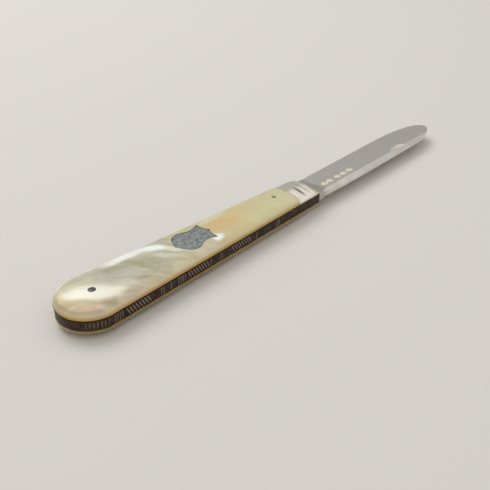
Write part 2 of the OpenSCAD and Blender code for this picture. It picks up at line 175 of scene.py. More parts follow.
class Outline:
    """A closed line on a level plane, drawn corner by corner and filled as one face."""

    def __init__(self, mesh: BMesh, z: float = 0.0) -> None:
        """Starts an empty line at height z in a mesh."""
        self.mesh = mesh
        self.z = z
        self.corners: list[BMVert] = []

    def to(self, x: float, y: float) -> "Outline":
        """Adds a corner and returns the outline."""
        self.corners.append(self.mesh.verts.new((x, y, self.z)))
        return self

    def arc(self, centre: Point, radius: float, start: float, turn: float, steps: int) -> "Outline":
        """Adds an arc.

        Args:
            centre: The arc's centre.
            radius: The arc's radius.
            start: The angle at which it starts, in degrees.
            turn: How far it turns, in degrees.
            steps: How many chords it has.

        Returns:
            The outline.
        """
        angle = math.radians(start)
        self.to(centre[0] + radius * math.cos(angle), centre[1] + radius * math.sin(angle))
        known = len(self.mesh.verts)
        bmesh.ops.spin(
            self.mesh,
            geom=[self.corners[-1]],
            cent=(*centre, self.z),
            axis=(0, 0, 1),
            angle=math.radians(turn),
            steps=steps,
            use_merge=False,
        )
        self.mesh.verts.ensure_lookup_table()
        self.corners += self.mesh.verts[known:]
        return self

    def curve(self, points: Sequence[Point], steps: int) -> "Outline":
        """Adds a cubic curve from the last corner to the last of three points.

        Args:
            points: The two points that pull the curve, and its end.
            steps: How many chords it has.

        Returns:
            The outline.
        """
        pulls = [Vector((x, y, self.z)) for x, y in points]
        for place in interpolate_bezier(self.corners[-1].co, *pulls, steps + 1)[1:]:
            self.to(place.x, place.y)
        return self

    def fill(self) -> BMFace:
        """Returns the face that the line encloses, with its normal up."""
        face = self.mesh.faces.new(self.corners)
        face.normal_update()
        if face.normal.z < 0:
            face.normal_flip()
        return face


class Stock:
    """A solid on the bench, in millimetres from the pivot's axis."""

    def __init__(self) -> None:
        """Starts with no metal."""
        self.mesh = bmesh.new()

    @property
    def geometry(self) -> list:
        """Every vertex, edge and face of the solid."""
        return [*self.mesh.verts, *self.mesh.edges, *self.mesh.faces]

    def outline(self, z: float = 0.0) -> Outline:
        """Starts an outline at height z."""
        return Outline(self.mesh, z)

    def raise_face(self, face: BMFace, height: float) -> BMFace:
        """Makes a slab of a filled outline.

        Args:
            face: The face, which becomes the slab's underside.
            height: The slab's thickness.

        Returns:
            The slab's top face.
        """
        made = bmesh.ops.extrude_face_region(self.mesh, geom=[face], use_keep_orig=True)["geom"]
        top = next(part for part in made if isinstance(part, BMFace))
        bmesh.ops.translate(self.mesh, verts=list(top.verts), vec=(0, 0, height))
        bmesh.ops.recalc_face_normals(self.mesh, faces=self.mesh.faces[:])
        return top

    def step_in(self, face: BMFace, steps: Iterable[Point]) -> None:
        """Rounds or crowns a top face by insets that each move inwards and rise.

        Args:
            face: The top face.
            steps: How far each inset goes inwards, and how far it rises.
        """
        for inwards, rise in steps:
            bmesh.ops.inset_region(
                self.mesh,
                faces=[face],
                thickness=inwards,
                depth=rise,
                use_boundary=True,
                use_even_offset=True,
            )

    def saw(self, x: float, keep_front: bool) -> None:
        """Cuts the solid off square at a place along the knife, and closes the cut."""
        cut = bmesh.ops.bisect_plane(
            self.mesh,
            geom=self.geometry,
            plane_co=ALONG * x,
            plane_no=ALONG,
            clear_inner=keep_front,
            clear_outer=not keep_front,
        )["geom_cut"]
        rim = [part for part in cut if isinstance(part, BMEdge)]
        bmesh.ops.holes_fill(self.mesh, edges=rim, sides=0)

    def score(self, places: Iterable[float], way: Vector = ALONG) -> None:
        """Adds a ring of edges at each place along the knife, or another way."""
        for place in places:
            bmesh.ops.bisect_plane(self.mesh, geom=self.geometry, plane_co=way * place, plane_no=way)

    def move(self, matrix: Matrix) -> "Stock":
        """Turns or shifts the solid, and returns it with its faces outwards."""
        bmesh.ops.transform(self.mesh, matrix=matrix, verts=self.mesh.verts[:])
        if matrix.determinant() < 0:
            bmesh.ops.reverse_faces(self.mesh, faces=self.mesh.faces[:])
        return self

    def turn_over(self) -> "Stock":
        """Mirrors the solid through the knife's middle plane."""
        return self.move(Matrix.Translation((0, 0, 2 * MIDDLE_Z)) @ TOP_TO_BOTTOM)

    def as_object(self, name: str) -> bpy.types.Object:
        """Returns an object that holds a copy of the solid, in the scene."""
        data = bpy.data.meshes.new(name)
        self.mesh.to_mesh(data)
        thing = bpy.data.objects.new(name, data)
        bpy.context.scene.collection.objects.link(thing)
        return thing

    def cut(self, tool: "Stock") -> None:
        """Takes away the space that a tool fills, with an exact boolean."""
        work, cutter = self.as_object("work"), tool.as_object("cutter")
        boolean = work.modifiers.new("Cut", "BOOLEAN")
        boolean.operation = "DIFFERENCE"
        boolean.solver = "EXACT"
        boolean.object = cutter
        done = work.evaluated_get(bpy.context.evaluated_depsgraph_get())
        self.mesh.clear()
        self.mesh.from_mesh(done.to_mesh())
        done.to_mesh_clear()
        for thing in (work, cutter):
            data = thing.data
            bpy.data.objects.remove(thing)
            bpy.data.meshes.remove(data)

    def drill(self, centre: Point, radius: float, z0: float, z1: float, segments: int = 64) -> None:
        """Bores a round hole between two heights."""
        bit = Stock()
        bmesh.ops.create_cone(
            bit.mesh,
            cap_ends=True,
            segments=segments,
            radius1=radius,
            radius2=radius,
            depth=z1 - z0,
            matrix=Matrix.Translation((*centre, (z0 + z1) / 2)),
        )
        self.cut(bit)

    def place(
        self, name: str, body: Body, node: str, slot: Slot, finish: bpy.types.Material, crease: float = 32
    ) -> bpy.types.Object:
        """Carries the solid to the frame as a finished piece.

        Args:
            name: The piece's name.
            body: The body that it rides on.
            node: The CAD node that it stands for.
            slot: The record's material slot; not used.
            finish: Its material.
            crease: Edges sharper than this stay sharp, in degrees.

        Returns:
            The piece.
        """
        shift = Matrix.Translation((HINGE.x, HINGE.y, 0))
        self.move(Matrix.Scale(MM, 4) @ shift)
        bmesh.ops.remove_doubles(self.mesh, verts=self.mesh.verts[:], dist=MM * WELD)
        piece = self.as_object(name)
        piece.data.shade_smooth()
        piece.data.set_sharp_from_angle(angle=math.radians(crease))
        piece.data.materials.append(finish)
        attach(piece, body.value)
        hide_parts(node)
        LOG.info("%s: %d faces, stands for %s", name, len(piece.data.polygons), node)
        return piece


def quarter_round(radius: float, steps: int, hold: float) -> list[Point]:
    """Works out the insets that round an edge from its wall to its top.

    Args:
        radius: The rounding's radius.
        steps: How many facets it has.
        hold: Width of a last level inset, which keeps the flat beyond it flat in shading.

    Returns:
        How far each inset goes inwards, and how far it rises.
    """
    angles = [math.pi / 2 * i / steps for i in range(steps + 1)]
    insets = [
        (radius * (math.cos(a) - math.cos(b)), radius * (math.sin(b) - math.sin(a)))
        for a, b in zip(angles, angles[1:])
    ]
    return [*insets, (hold, 0.0)]


@dataclass(frozen=True)
class HandlePlan:
    """Plan of the handle: a round butt, and two straight edges that draw in to a square front."""

    length: float = 72.6
    butt_radius: float = 7.45
    butt_y: float = 1.15
    butt_meet: float = 6.5
    back_taper: float = 0.75
    slot_taper: float = 4.25
    front_x: float = 4.0
    seam_x: float = -3.7
    corner_radius: float = 2.0
    butt_chords: int = 72
    corner_chords: int = 14

    @property
    def butt_x(self) -> float:
        """Where the round butt's centre lies."""
        return self.front_x - self.length + self.butt_radius

    @property
    def side(self) -> float:
        """Distance of both straight edges from the butt's centre."""
        return self.butt_radius * math.cos(math.radians(self.butt_meet))

    def back_y(self, x: float) -> float:
        """Returns where the back edge lies at a place along the knife."""
        slope = math.radians(self.back_taper)
        return self.butt_y - self.side / math.cos(slope) + (x - self.butt_x) * math.tan(slope)

    def slot_y(self, x: float) -> float:
        """Returns where the slot edge lies at a place along the knife."""
        slope = math.radians(self.slot_taper)
        return self.butt_y + self.side / math.cos(slope) - (x - self.butt_x) * math.tan(slope)

    def from_butt(self, x: float, y: float) -> float:
        """Returns how far inside the round butt a place lies."""
        return self.butt_radius - math.hypot(x - self.butt_x, y - self.butt_y)

    def face(
        self, stock: Stock, z: float, grow: float = 0.0, beyond: float = 0.0, round_corner: bool = True
    ) -> BMFace:
        """Draws the plan.

        Args:
            stock: The solid that gets the face.
            z: The face's height.
            grow: How far the edges stand out past the plan.
            beyond: How far the front goes past its place, for a piece that is sawn off behind it.
            round_corner: Whether the front corner on the slot side is rounded.

        Returns:
            The face.
        """
        butt = (self.butt_x, self.butt_y)
        radius = self.butt_radius + grow
        spread = grow / math.cos(math.radians(self.slot_taper))
        start = 90 - self.slot_taper + self.butt_meet
        end = 270 + self.back_taper - self.butt_meet
        x = self.front_x + beyond
        line = stock.outline(z).arc(butt, radius, start, end - start, self.butt_chords)
        line.to(x, self.back_y(x) - grow)
        if not round_corner:
            return line.to(x, self.slot_y(x) + spread).fill()
        corner = self.corner_radius
        lean = 90 - self.slot_taper
        reach = corner / math.tan(math.radians((180 - lean) / 2)) - corner
        centre_x = x - corner
        centre_y = self.slot_y(x) + spread - corner - reach
        return line.arc((centre_x, centre_y), corner, 0, lean, self.corner_chords).fill()


PLAN = HandlePlan()


@dataclass(frozen=True)
class Crown:
    """The low dome that filing and sanding leave across the handle, steepest at its edges."""

    edge_drop: float
    reach: float
    bend: float
    # The slot side is left fuller, and keeps this share of the drop
    slot_share: float
    blend_width: float = 5.0

    def drop(self, x: float, y: float) -> float:
        """Returns how far the face falls at a place, from its height in the middle."""
        from_back = y - PLAN.back_y(x)
        from_slot = PLAN.slot_y(x) - y
        inside = min(from_back, from_slot)
        if x < PLAN.butt_x:
            inside = PLAN.from_butt(x, y)
        if inside >= self.reach:
            return 0.0
        across = min(1.0, max(0.0, 0.5 + (from_back - from_slot) / 2 / self.blend_width))
        share = 1 - (1 - self.slot_share) * across * across * (3 - 2 * across)
        return share * self.edge_drop * (1 - max(0.0, inside) / self.reach) ** self.bend

    def lower(self, stock: Stock, z0: float, z1: float) -> None:
        """Domes a solid.

        Args:
            stock: The solid, on the mark side.
            z0: Height that stays as it is.
            z1: Height of the middle of the domed face.
        """
        for vert in stock.mesh.verts:
            share = (vert.co.z - z0) / (z1 - z0)
            if share > 0:
                vert.co.z -= share * self.drop(vert.co.x, vert.co.y)


SCALE_CROWN = Crown(edge_drop=0.95, reach=3.45, bend=1.15, slot_share=0.29)
BOLSTER_CROWN = Crown(edge_drop=1.05, reach=4.7, bend=1.2, slot_share=0.55)


@dataclass(frozen=True)
class PinPlaces:
    """Centres and radii of the pins that hold the handle together."""

    butt: Point = (PLAN.butt_x + 0.45, PLAN.butt_y)
    butt_radius: float = 0.82
    front: Point = (-7.7, -0.3)
    front_radius: float = 0.55
    centre: Point = (-33.0, PLAN.back_y(-33.0) + 2.0)
    centre_radius: float = 0.75
    pivot: Point = (0.0, 0.0)
    pivot_radius: float = 1.3
    fit: float = 0.02


PINS = PinPlaces()


@dataclass(frozen=True)
class ShellCloud:
    """One soft patch of colour on the shell at a place in the frame: most make up its figure, and a few
    are painted sheen and highlights.
    """

    at: Point
    reach: Point
    turn: float
    colour: str
    strength: float
    # This share of the reach is the soft border
    edge_share: float = 0.7
    # Deep enough that a cloud looks the same all through the shell
    depth: float = 1000.0


@dataclass(frozen=True)
class RimTint:
    """One tint on the rounded rim: how far from the middle plane, and how far across, it comes in."""

    colour: str
    heights: Point
    # Measured across from a line that leans as the slot edge does
    across: Point
    strength: float


@dataclass(frozen=True)
class MotherOfPearl:
    """Nacre, ground and polished: a hard gloss over cloudy layers that run as soft slanting folds."""

    name: str
    clouds: tuple[ShellCloud, ...]
    # Shell ground near its outer crust is yellow, and that shows where the edge is rounded off on the
    # back side; the white tint on the slot side's rim is a painted highlight
    rims: tuple[RimTint, ...] = (
        RimTint("#dad4a4", (2.75, 1.9), (1.0, -4.0), 0.75),
        RimTint("#c99b50", (2.3, 1.6), (3.0, -3.0), 0.8),
        # Painted highlight on the slot side's rounded rim
        RimTint("#fffaee", (3.08, 2.9), (2.4, 4.4), 0.9),
    )
    # Grime in the joint with the bolster
    joint_colour: str = "#6b4d2a"
    # The shell's own colour from the butt's end to the front's, and the places of both ends
    ground: Ramp = (
        (0.0, "#cfc19a"),
        (0.16, "#cbc7b9"),
        (0.42, "#c3beab"),
        (0.6, "#cfc39b"),
        (0.78, "#d8c99a"),
        (1.0, "#d5cdaa"),
    )
    ground_ends: Point = (-32.0, 32.0)
    # A slow drift, which makes every border uneven
    drift_per_mm: float = 0.14
    drift_reach: Point = (3.0, 2.0)
    fold_turn: float = -44.0
    fold_length_mm: float = 9.0
    fold_width_mm: float = 2.6
    fold_depth_mm: float = 6.0
    fold_tones: Ramp = ((0.38, "#8c867a"), (0.5, "#bcbcbc"), (0.64, "#f6f4ee"))
    # The folds' light is strong before the first of these places, and faint from the second on
    fold_fade: Point = (-6.0, 6.0)
    fold_strength: Point = (0.52, 0.12)
    growth_line_mm: float = 0.55
    growth_share: float = 0.1
    relief_mm: float = 0.06
    rough_low: float = 0.22
    rough_high: float = 0.38

    def material(self) -> bpy.types.Material:
        """Builds the material."""
        finish = bpy.data.materials.new(self.name)
        tree = bare_tree(finish)
        place = in_millimetres(tree)
        drift = add(
            tree, "ShaderNodeTexNoise", {"Scale": self.drift_per_mm, "Detail": 1.5}, {"Vector": place}
        )
        centred = add(
            tree,
            "ShaderNodeVectorMath",
            {"operation": "SUBTRACT", 1: (0.5, 0.5, 0.5)},
            {0: drift.outputs["Color"]},
        )
        wander = add(
            tree,
            "ShaderNodeVectorMath",
            {"operation": "MULTIPLY_ADD", 1: (*self.drift_reach, 0.0)},
            {0: centred.outputs["Vector"], 2: place},
        ).outputs["Vector"]
        colour = self.figure(tree, wander)
        folds = self.folds(tree, wander)
        colour = self.fold_light(tree, colour, folds, place)
        colour = self.rim(tree, colour, place)
        joint = add(tree, "ShaderNodeAttribute", {"attribute_name": "hollow"})
        colour = add(
            tree,
            "ShaderNodeMix",
            {"data_type": "RGBA", MIX_B: linear(self.joint_colour)},
            {0: joint.outputs["Fac"], MIX_A: colour},
        ).outputs[MIX_OUT]
        lines = add(
            tree,
            "ShaderNodeTexWave",
            {
                "bands_direction": "DIAGONAL",
                "Scale": 1 / (self.growth_line_mm * 3),
                "Distortion": 9.0,
                "Detail": 3.0,
            },
            {"Vector": wander},
        )
        height = add(
            tree,
            "ShaderNodeMath",
            {"operation": "MULTIPLY_ADD", 1: self.growth_share},
            {0: lines.outputs["Fac"], 2: folds},
        )
        bump = add(
            tree,
            "ShaderNodeBump",
            {"Strength": 0.3, "Distance": self.relief_mm * MM},
            {"Height": height.outputs["Value"]},
        )
        gloss = add(
            tree,
            "ShaderNodeMapRange",
            {"To Min": self.rough_low, "To Max": self.rough_high},
            {"Value": folds},
        )
        surface = add(
            tree,
            "ShaderNodeBsdfPrincipled",
            {
                "IOR": 1.56,
                "Coat Weight": 0.4,
                "Coat Roughness": 0.08,
                "Thin Film Thickness": 480.0,
                "Thin Film IOR": 1.4,
            },
            {
                "Base Color": colour,
                "Roughness": gloss.outputs["Result"],
                "Normal": bump.outputs["Normal"],
            },
        )
        add(tree, "ShaderNodeOutputMaterial", {}, {"Surface": surface.outputs["BSDF"]})
        return finish

    def figure(self, tree: bpy.types.NodeTree, wander: bpy.types.NodeSocket) -> bpy.types.NodeSocket:
        """Lays the clouds of colour over the shell's ground colour.

        Args:
            tree: The material's node tree.
            wander: Coordinates in millimetres with a slow drift, for soft uneven borders.

        Returns:
            The colour.
        """
        x = add(tree, "ShaderNodeSeparateXYZ", {}, {"Vector": wander}).outputs["X"]
        along = add(
            tree,
            "ShaderNodeMapRange",
            {"From Min": self.ground_ends[0], "From Max": self.ground_ends[1]},
            {"Value": x},
        )
        ground = add(
            tree,
            "ShaderNodeValToRGB",
            {"stops": ramp_stops(self.ground)},
            {"Fac": along.outputs["Result"]},
        )
        colour = ground.outputs["Color"]
        for cloud in self.clouds:
            local = add(
                tree,
                "ShaderNodeMapping",
                {
                    "vector_type": "TEXTURE",
                    "Location": (*cloud.at, 0),
                    "Rotation": (0, 0, math.radians(cloud.turn)),
                    "Scale": (*cloud.reach, cloud.depth),
                },
                {"Vector": wander},
            )
            ball = add(
                tree,
                "ShaderNodeTexGradient",
                {"gradient_type": "SPHERICAL"},
                {"Vector": local.outputs["Vector"]},
            )
            soft = add(
                tree,
                "ShaderNodeMapRange",
                {
                    "interpolation_type": "SMOOTHSTEP",
                    "From Max": cloud.edge_share,
                    "To Max": cloud.strength,
                },
                {"Value": ball.outputs["Fac"]},
            )
            mix = add(
                tree,
                "ShaderNodeMix",
                {"data_type": "RGBA", MIX_B: linear(cloud.colour)},
                {0: soft.outputs["Result"], MIX_A: colour},
            )
            colour = mix.outputs[MIX_OUT]
        return colour

    def folds(self, tree: bpy.types.NodeTree, wander: bpy.types.NodeSocket) -> bpy.types.NodeSocket:
        """Returns the slanting folds of the nacre, as a height from 0 to 1."""
        slant = add(
            tree,
            "ShaderNodeMapping",
            {
                "vector_type": "TEXTURE",
                "Rotation": (0, 0, math.radians(self.fold_turn)),
                "Scale": (self.fold_length_mm, self.fold_width_mm, self.fold_depth_mm),
            },
            {"Vector": wander},
        )
        noise = add(
            tree,
            "ShaderNodeTexNoise",
            {"Scale": 1.0, "Detail": 3.0, "Roughness": 0.5, "Distortion": 0.5},
            {"Vector": slant.outputs["Vector"]},
        )
        return noise.outputs["Fac"]

    def fold_light(
        self,
        tree: bpy.types.NodeTree,
        colour: bpy.types.NodeSocket,
        folds: bpy.types.NodeSocket,
        place: bpy.types.NodeSocket,
    ) -> bpy.types.NodeSocket:
        """Lightens and darkens the shell along its folds, most towards the butt.

        Args:
            tree: The material's node tree.
            colour: The shell's colour.
            folds: The folds' height.
            place: Coordinates in millimetres.

        Returns:
            The colour.
        """
        x = add(tree, "ShaderNodeSeparateXYZ", {}, {"Vector": place}).outputs["X"]
        amount = add(
            tree,
            "ShaderNodeMapRange",
            {
                "interpolation_type": "SMOOTHSTEP",
                "From Min": self.fold_fade[0],
                "From Max": self.fold_fade[1],
                "To Min": self.fold_strength[0],
                "To Max": self.fold_strength[1],
            },
            {"Value": x},
        )
        tone = add(
            tree,
            "ShaderNodeValToRGB",
            {"stops": ramp_stops(self.fold_tones)},
            {"Fac": folds},
        )
        return add(
            tree,
            "ShaderNodeMix",
            {"data_type": "RGBA", "blend_type": "SOFT_LIGHT"},
            {0: amount.outputs["Result"], MIX_A: colour, MIX_B: tone.outputs["Color"]},
        ).outputs[MIX_OUT]

    def rim(
        self, tree: bpy.types.NodeTree, colour: bpy.types.NodeSocket, place: bpy.types.NodeSocket
    ) -> bpy.types.NodeSocket:
        """Lays the tints on the rounded rim: the shell's own colour there, and painted highlight and
        shade.

        Args:
            tree: The material's node tree.
            colour: The shell's colour.
            place: Coordinates in millimetres.

        Returns:
            The colour.
        """
        split = add(tree, "ShaderNodeSeparateXYZ", {}, {"Vector": place})
        lean = math.tan(math.radians(PLAN.slot_taper))
        leaning = add(
            tree,
            "ShaderNodeMath",
            {"operation": "MULTIPLY_ADD", 1: lean},
            {0: split.outputs["X"], 2: split.outputs["Y"]},
        ).outputs["Value"]
        height = add(
            tree, "ShaderNodeMath", {"operation": "SUBTRACT", 1: MIDDLE_Z}, {0: split.outputs["Z"]}
        )
        out = add(tree, "ShaderNodeMath", {"operation": "ABSOLUTE"}, {0: height.outputs["Value"]})
        for tint in self.rims:
            low = add(
                tree,
                "ShaderNodeMapRange",
                {
                    "interpolation_type": "SMOOTHSTEP",
                    "From Min": tint.heights[0],
                    "From Max": tint.heights[1],
                    "To Max": tint.strength,
                },
                {"Value": out.outputs["Value"]},
            )
            across = add(
                tree,
                "ShaderNodeMapRange",
                {
                    "interpolation_type": "SMOOTHSTEP",
                    "From Min": tint.across[0],
                    "From Max": tint.across[1],
                },
                {"Value": leaning},
            )
            amount = add(
                tree,
                "ShaderNodeMath",
                {"operation": "MULTIPLY"},
                {0: low.outputs["Result"], 1: across.outputs["Result"]},
            )
            colour = add(
                tree,
                "ShaderNodeMix",
                {"data_type": "RGBA", MIX_B: linear(tint.colour)},
                {0: amount.outputs["Value"], MIX_A: colour},
            ).outputs[MIX_OUT]
        return colour


@dataclass(frozen=True)
class WornMetal:
    """Metal with fine lines from its polishing, and a thin uneven tarnish that gathers in hollows."""

    name: str
    colour: str
    tarnish: str
    # What has settled where the "hollow" attribute is 1, and how metallic that still looks
    hollow: str
    hollow_metallic: float = 0.8
    # How much tarnish lies on open faces, from 0 to 1, and where it comes in on the clouds' noise
    spread: float = 0.3
    tarnish_noise: Point = (0.42, 0.7)
    rough_low: float = 0.2
    rough_high: float = 0.38
    metallic: float = 1.0
    cloud_mm: float = 3.0
    # Real polishing lines are a few hundredths of a millimetre apart, drawn coarser so that they show
    line_mm: float = 0.12
    line_length_mm: float = 12.0
    line_turn: float = 0.0
    line_depth_mm: float = 0.004
    # Painted shade: the tarnish colour is laid whole behind the second of these places, and the patchy
    # tarnish alone lies before the first
    painted_shade_from: Point | None = None

    def material(self) -> bpy.types.Material:
        """Builds the material."""
        finish = bpy.data.materials.new(self.name)
        tree = bare_tree(finish)
        place = in_millimetres(tree)
        clouds = add(
            tree,
            "ShaderNodeTexNoise",
            {"Scale": 1 / self.cloud_mm, "Detail": 5.0, "Roughness": 0.6},
            {"Vector": place},
        )
        film = add(
            tree,
            "ShaderNodeMapRange",
            {
                "From Min": self.tarnish_noise[0],
                "From Max": self.tarnish_noise[1],
                "To Max": self.spread,
            },
            {"Value": clouds.outputs["Fac"]},
        )
        amount = film.outputs["Result"]
        if self.painted_shade_from:
            x = add(tree, "ShaderNodeSeparateXYZ", {}, {"Vector": place}).outputs["X"]
            kept = add(
                tree,
                "ShaderNodeMapRange",
                {
                    "interpolation_type": "SMOOTHSTEP",
                    "From Min": self.painted_shade_from[0],
                    "From Max": self.painted_shade_from[1],
                },
                {"Value": x},
            )
            amount = add(
                tree, "ShaderNodeMath", {"operation": "MAXIMUM"}, {0: amount, 1: kept.outputs["Result"]}
            ).outputs["Value"]
        face = add(
            tree,
            "ShaderNodeMix",
            {"data_type": "RGBA", MIX_A: linear(self.colour), MIX_B: linear(self.tarnish)},
            {0: amount},
        )
        hollow = add(tree, "ShaderNodeAttribute", {"attribute_name": "hollow"})
        colour = add(
            tree,
            "ShaderNodeMix",
            {"data_type": "RGBA", MIX_B: linear(self.hollow)},
            {0: hollow.outputs["Fac"], MIX_A: face.outputs[MIX_OUT]},
        )
        metallic = add(
            tree,
            "ShaderNodeMapRange",
            {"To Min": self.metallic, "To Max": self.hollow_metallic},
            {"Value": hollow.outputs["Fac"]},
        )
        drawn = add(
            tree,
            "ShaderNodeMapping",
            {
                "vector_type": "TEXTURE",
                "Rotation": (0, 0, math.radians(self.line_turn)),
                "Scale": (self.line_length_mm, self.line_mm, self.line_mm),
            },
            {"Vector": place},
        )
        lines = add(
            tree, "ShaderNodeTexNoise", {"Scale": 1.0, "Detail": 2.0}, {"Vector": drawn.outputs["Vector"]}
        )
        gloss = add(
            tree,
            "ShaderNodeMapRange",
            {"From Min": 0.3, "From Max": 0.7, "To Min": self.rough_low, "To Max": self.rough_high},
            {"Value": clouds.outputs["Fac"]},
        )
        bump = add(
            tree,
            "ShaderNodeBump",
            {"Strength": 0.5, "Distance": self.line_depth_mm * MM},
            {"Height": lines.outputs["Fac"]},
        )
        surface = add(
            tree,
            "ShaderNodeBsdfPrincipled",
            {},
            {
                "Base Color": colour.outputs[MIX_OUT],
                "Metallic": metallic.outputs["Result"],
                "Roughness": gloss.outputs["Result"],
                "Normal": bump.outputs["Normal"],
            },
        )
        add(tree, "ShaderNodeOutputMaterial", {}, {"Surface": surface.outputs["BSDF"]})
        return finish


# The mark side's shell: a painted white sheen round the butt pin, folds before the shield, then gold and
# green; its white slot side rim and a white glint by the shield are painted highlights
MARK_SHELL = MotherOfPearl(
    "pearl_polished_mark_side",
    (
        ShellCloud((-29.5, -2.2), (8.0, 4.6), 0, "#9c9376", 0.95),
        ShellCloud((-21.5, 4.0), (4.8, 2.4), -20, "#b2aa9a", 0.75),
        # Painted sheen: this cloud and the next one paint the white light round the butt pin
        ShellCloud((-25.2, -0.4), (8.2, 3.7), -38, "#f6f4ea", 1.0),
        ShellCloud((-21.8, -2.7), (4.4, 2.2), -25, "#f4f1e3", 0.9),
        ShellCloud((-30.6, -1.6), (6.4, 3.1), -66, "#aa9f7d", 0.75),
        ShellCloud((-28.4, -5.2), (6.0, 2.0), -30, "#c2b695", 0.7),
        ShellCloud((-23.0, -5.6), (8.6, 2.8), -2, "#b0a78a", 0.9),
        ShellCloud((-19.2, 1.6), (6.5, 2.6), -50, "#b5b0a5", 0.85),
        ShellCloud((-17.2, 3.4), (5.0, 1.6), -46, "#b0aa9d", 0.8),
        ShellCloud((-15.6, -0.4), (5.4, 2.4), -58, "#c0bbb2", 0.75),
        ShellCloud((-14.4, -2.4), (3.4, 1.2), -48, "#b8b2a4", 0.7),
        ShellCloud((-12.8, -3.2), (4.0, 1.8), 0, "#a8a38c", 0.8),
        ShellCloud((-8.0, -5.2), (18.0, 2.2), 1, "#bdb898", 0.75),
        ShellCloud((2.5, -4.9), (5.0, 2.2), 0, "#cfccb6", 0.7),
        ShellCloud((-10.8, 0.2), (7.0, 2.8), -42, "#aaa58e", 0.75),
        # Painted highlight along the slot side's rounded rim
        ShellCloud((-13.4, 5.4), (6.8, 1.9), -5, "#fffdf8", 0.95),
        ShellCloud((-6.8, 3.4), (5.6, 1.5), -40, "#ffffff", 1.0),
        ShellCloud((-6.4, -0.8), (5.2, 1.1), -46, "#e2decb", 0.8),
        ShellCloud((-3.6, 0.0), (3.4, 1.4), -55, "#eeebdf", 0.8),
        ShellCloud((11.0, 3.5), (7.5, 1.7), -4, "#e0d9bc", 0.75),
        ShellCloud((11.5, -0.2), (8.5, 3.4), -8, "#dcb682", 0.7),
        ShellCloud((22.5, -3.5), (8.0, 3.4), 8, "#c8d09e", 0.45),
        # Painted glint on the shell by the shield's near front ear
        ShellCloud((6.7, -3.4), (2.0, 1.3), 12, "#ffffff", 1.0),
    ),
)

# The pile side is cut from another part of the shell, so its figure lies elsewhere
PILE_SHELL = MotherOfPearl(
    "pearl_polished_pile_side",
    (
        ShellCloud((-20.0, 1.0), (10.0, 4.0), 38, "#fbf8ee", 0.9),
        ShellCloud((-13.0, -2.5), (7.0, 2.0), 42, "#aca79a", 0.7),
        ShellCloud((-4.0, -1.0), (10.0, 4.5), 30, "#b9b4a4", 0.6),
        ShellCloud((4.0, 2.5), (8.0, 1.6), 36, "#f4f0e4", 0.8),
        ShellCloud((14.0, 1.5), (8.0, 4.0), 20, "#d4c094", 0.7),
        ShellCloud((25.0, -1.5), (7.0, 4.0), 0, "#c4cca0", 0.6),
    ),
    # Its back side's rim is tinted dark brown: partly the shell's brownish back, partly painted shade on
    # the lower rim
    rims=(RimTint("#a08a62", (2.7, 1.8), (1.0, -4.0), 0.85),),
    fold_turn=40.0,
)

# Sterling silver sheet, filed and hand polished: warm and soft, with dark tarnish in the grooves
BOLSTER_SILVER = WornMetal(
    "silver_polished_bolsters",
    "#fff9ea",
    "#d6cebc",
    "#4d4a45",
    hollow_metallic=0.35,
    spread=0.45,
    rough_low=0.24,
    rough_high=0.34,
    line_turn=90.0,
)
# The blade's silver was planished, ground and polished along its length, and has dulled to grey; dried
# plate polish fills its marks and its nick, painted pale enough to stand for their highlights too, and
# the blade is painted darker next to the bolster as shade
BLADE_SILVER = WornMetal(
    "silver_worn_blade",
    "#ebe7e2",
    "#bfbdb5",
    "#ebe1cc",
    hollow_metallic=0.25,
    spread=0.4,
    rough_low=0.24,
    rough_high=0.36,
    cloud_mm=5.0,
    # Painted shade where the blade meets the bolster
    painted_shade_from=(45.6, 42.0),
)
# Nickel silver, let in and rubbed flat: dull, mottled and scratched every way
SHIELD_SILVER = WornMetal(
    "nickel_silver_rubbed_shield",
    "#969b9b",
    "#42484a",
    "#3e4243",
    spread=0.9,
    rough_low=0.4,
    rough_high=0.6,
    metallic=0.8,
    cloud_mm=0.8,
    line_length_mm=0.5,
    line_mm=0.25,
    line_depth_mm=0.03,
)
# Hardened spring steel: brown-black with age; its file-cut work is painted pale, partly dust and wear and
# partly painted highlight on the cut facets
SPRING_STEEL = WornMetal(
    "steel_file_cut_spring",
    "#4a3f38",
    "#261f1b",
    "#b3a598",
    hollow_metallic=0.3,
    spread=0.9,
    rough_low=0.36,
    rough_high=0.52,
    metallic=0.85,
    cloud_mm=1.2,
)
# Rolled brass sheet, its edge filed flush: rubbed gold on the pile side, and painted dark brown on the
# mark side as the shade under the scale's edge
SHADED_BRASS = WornMetal(
    "brass_shaded_mark_side_liner", "#4a3719", "#1f160d", "#1f160d", spread=0.8, cloud_mm=1.5
)
RUBBED_BRASS = WornMetal(
    "brass_rubbed_pile_side_liner", "#bd9a58", "#6f5530", "#5d4424", spread=0.6, cloud_mm=1.5
)
# Drawn steel wire, riveted over and darkened
PIN_STEEL = WornMetal(
    "steel_wire_butt_pin",
    "#63655c",
    "#33342f",
    "#33342f",
    spread=0.8,
    rough_low=0.4,
    rough_high=0.55,
    metallic=0.9,
    cloud_mm=0.7,
    line_length_mm=0.4,
)
# Thin nickel silver wire, filed flush with the shell and gone grey-brown
FRONT_PIN_WIRE = WornMetal(
    "nickel_silver_wire_front_pins",
    "#a39c84",
    "#77705c",
    "#5b5648",
    spread=0.8,
    rough_low=0.4,
    rough_high=0.55,
    cloud_mm=0.5,
)


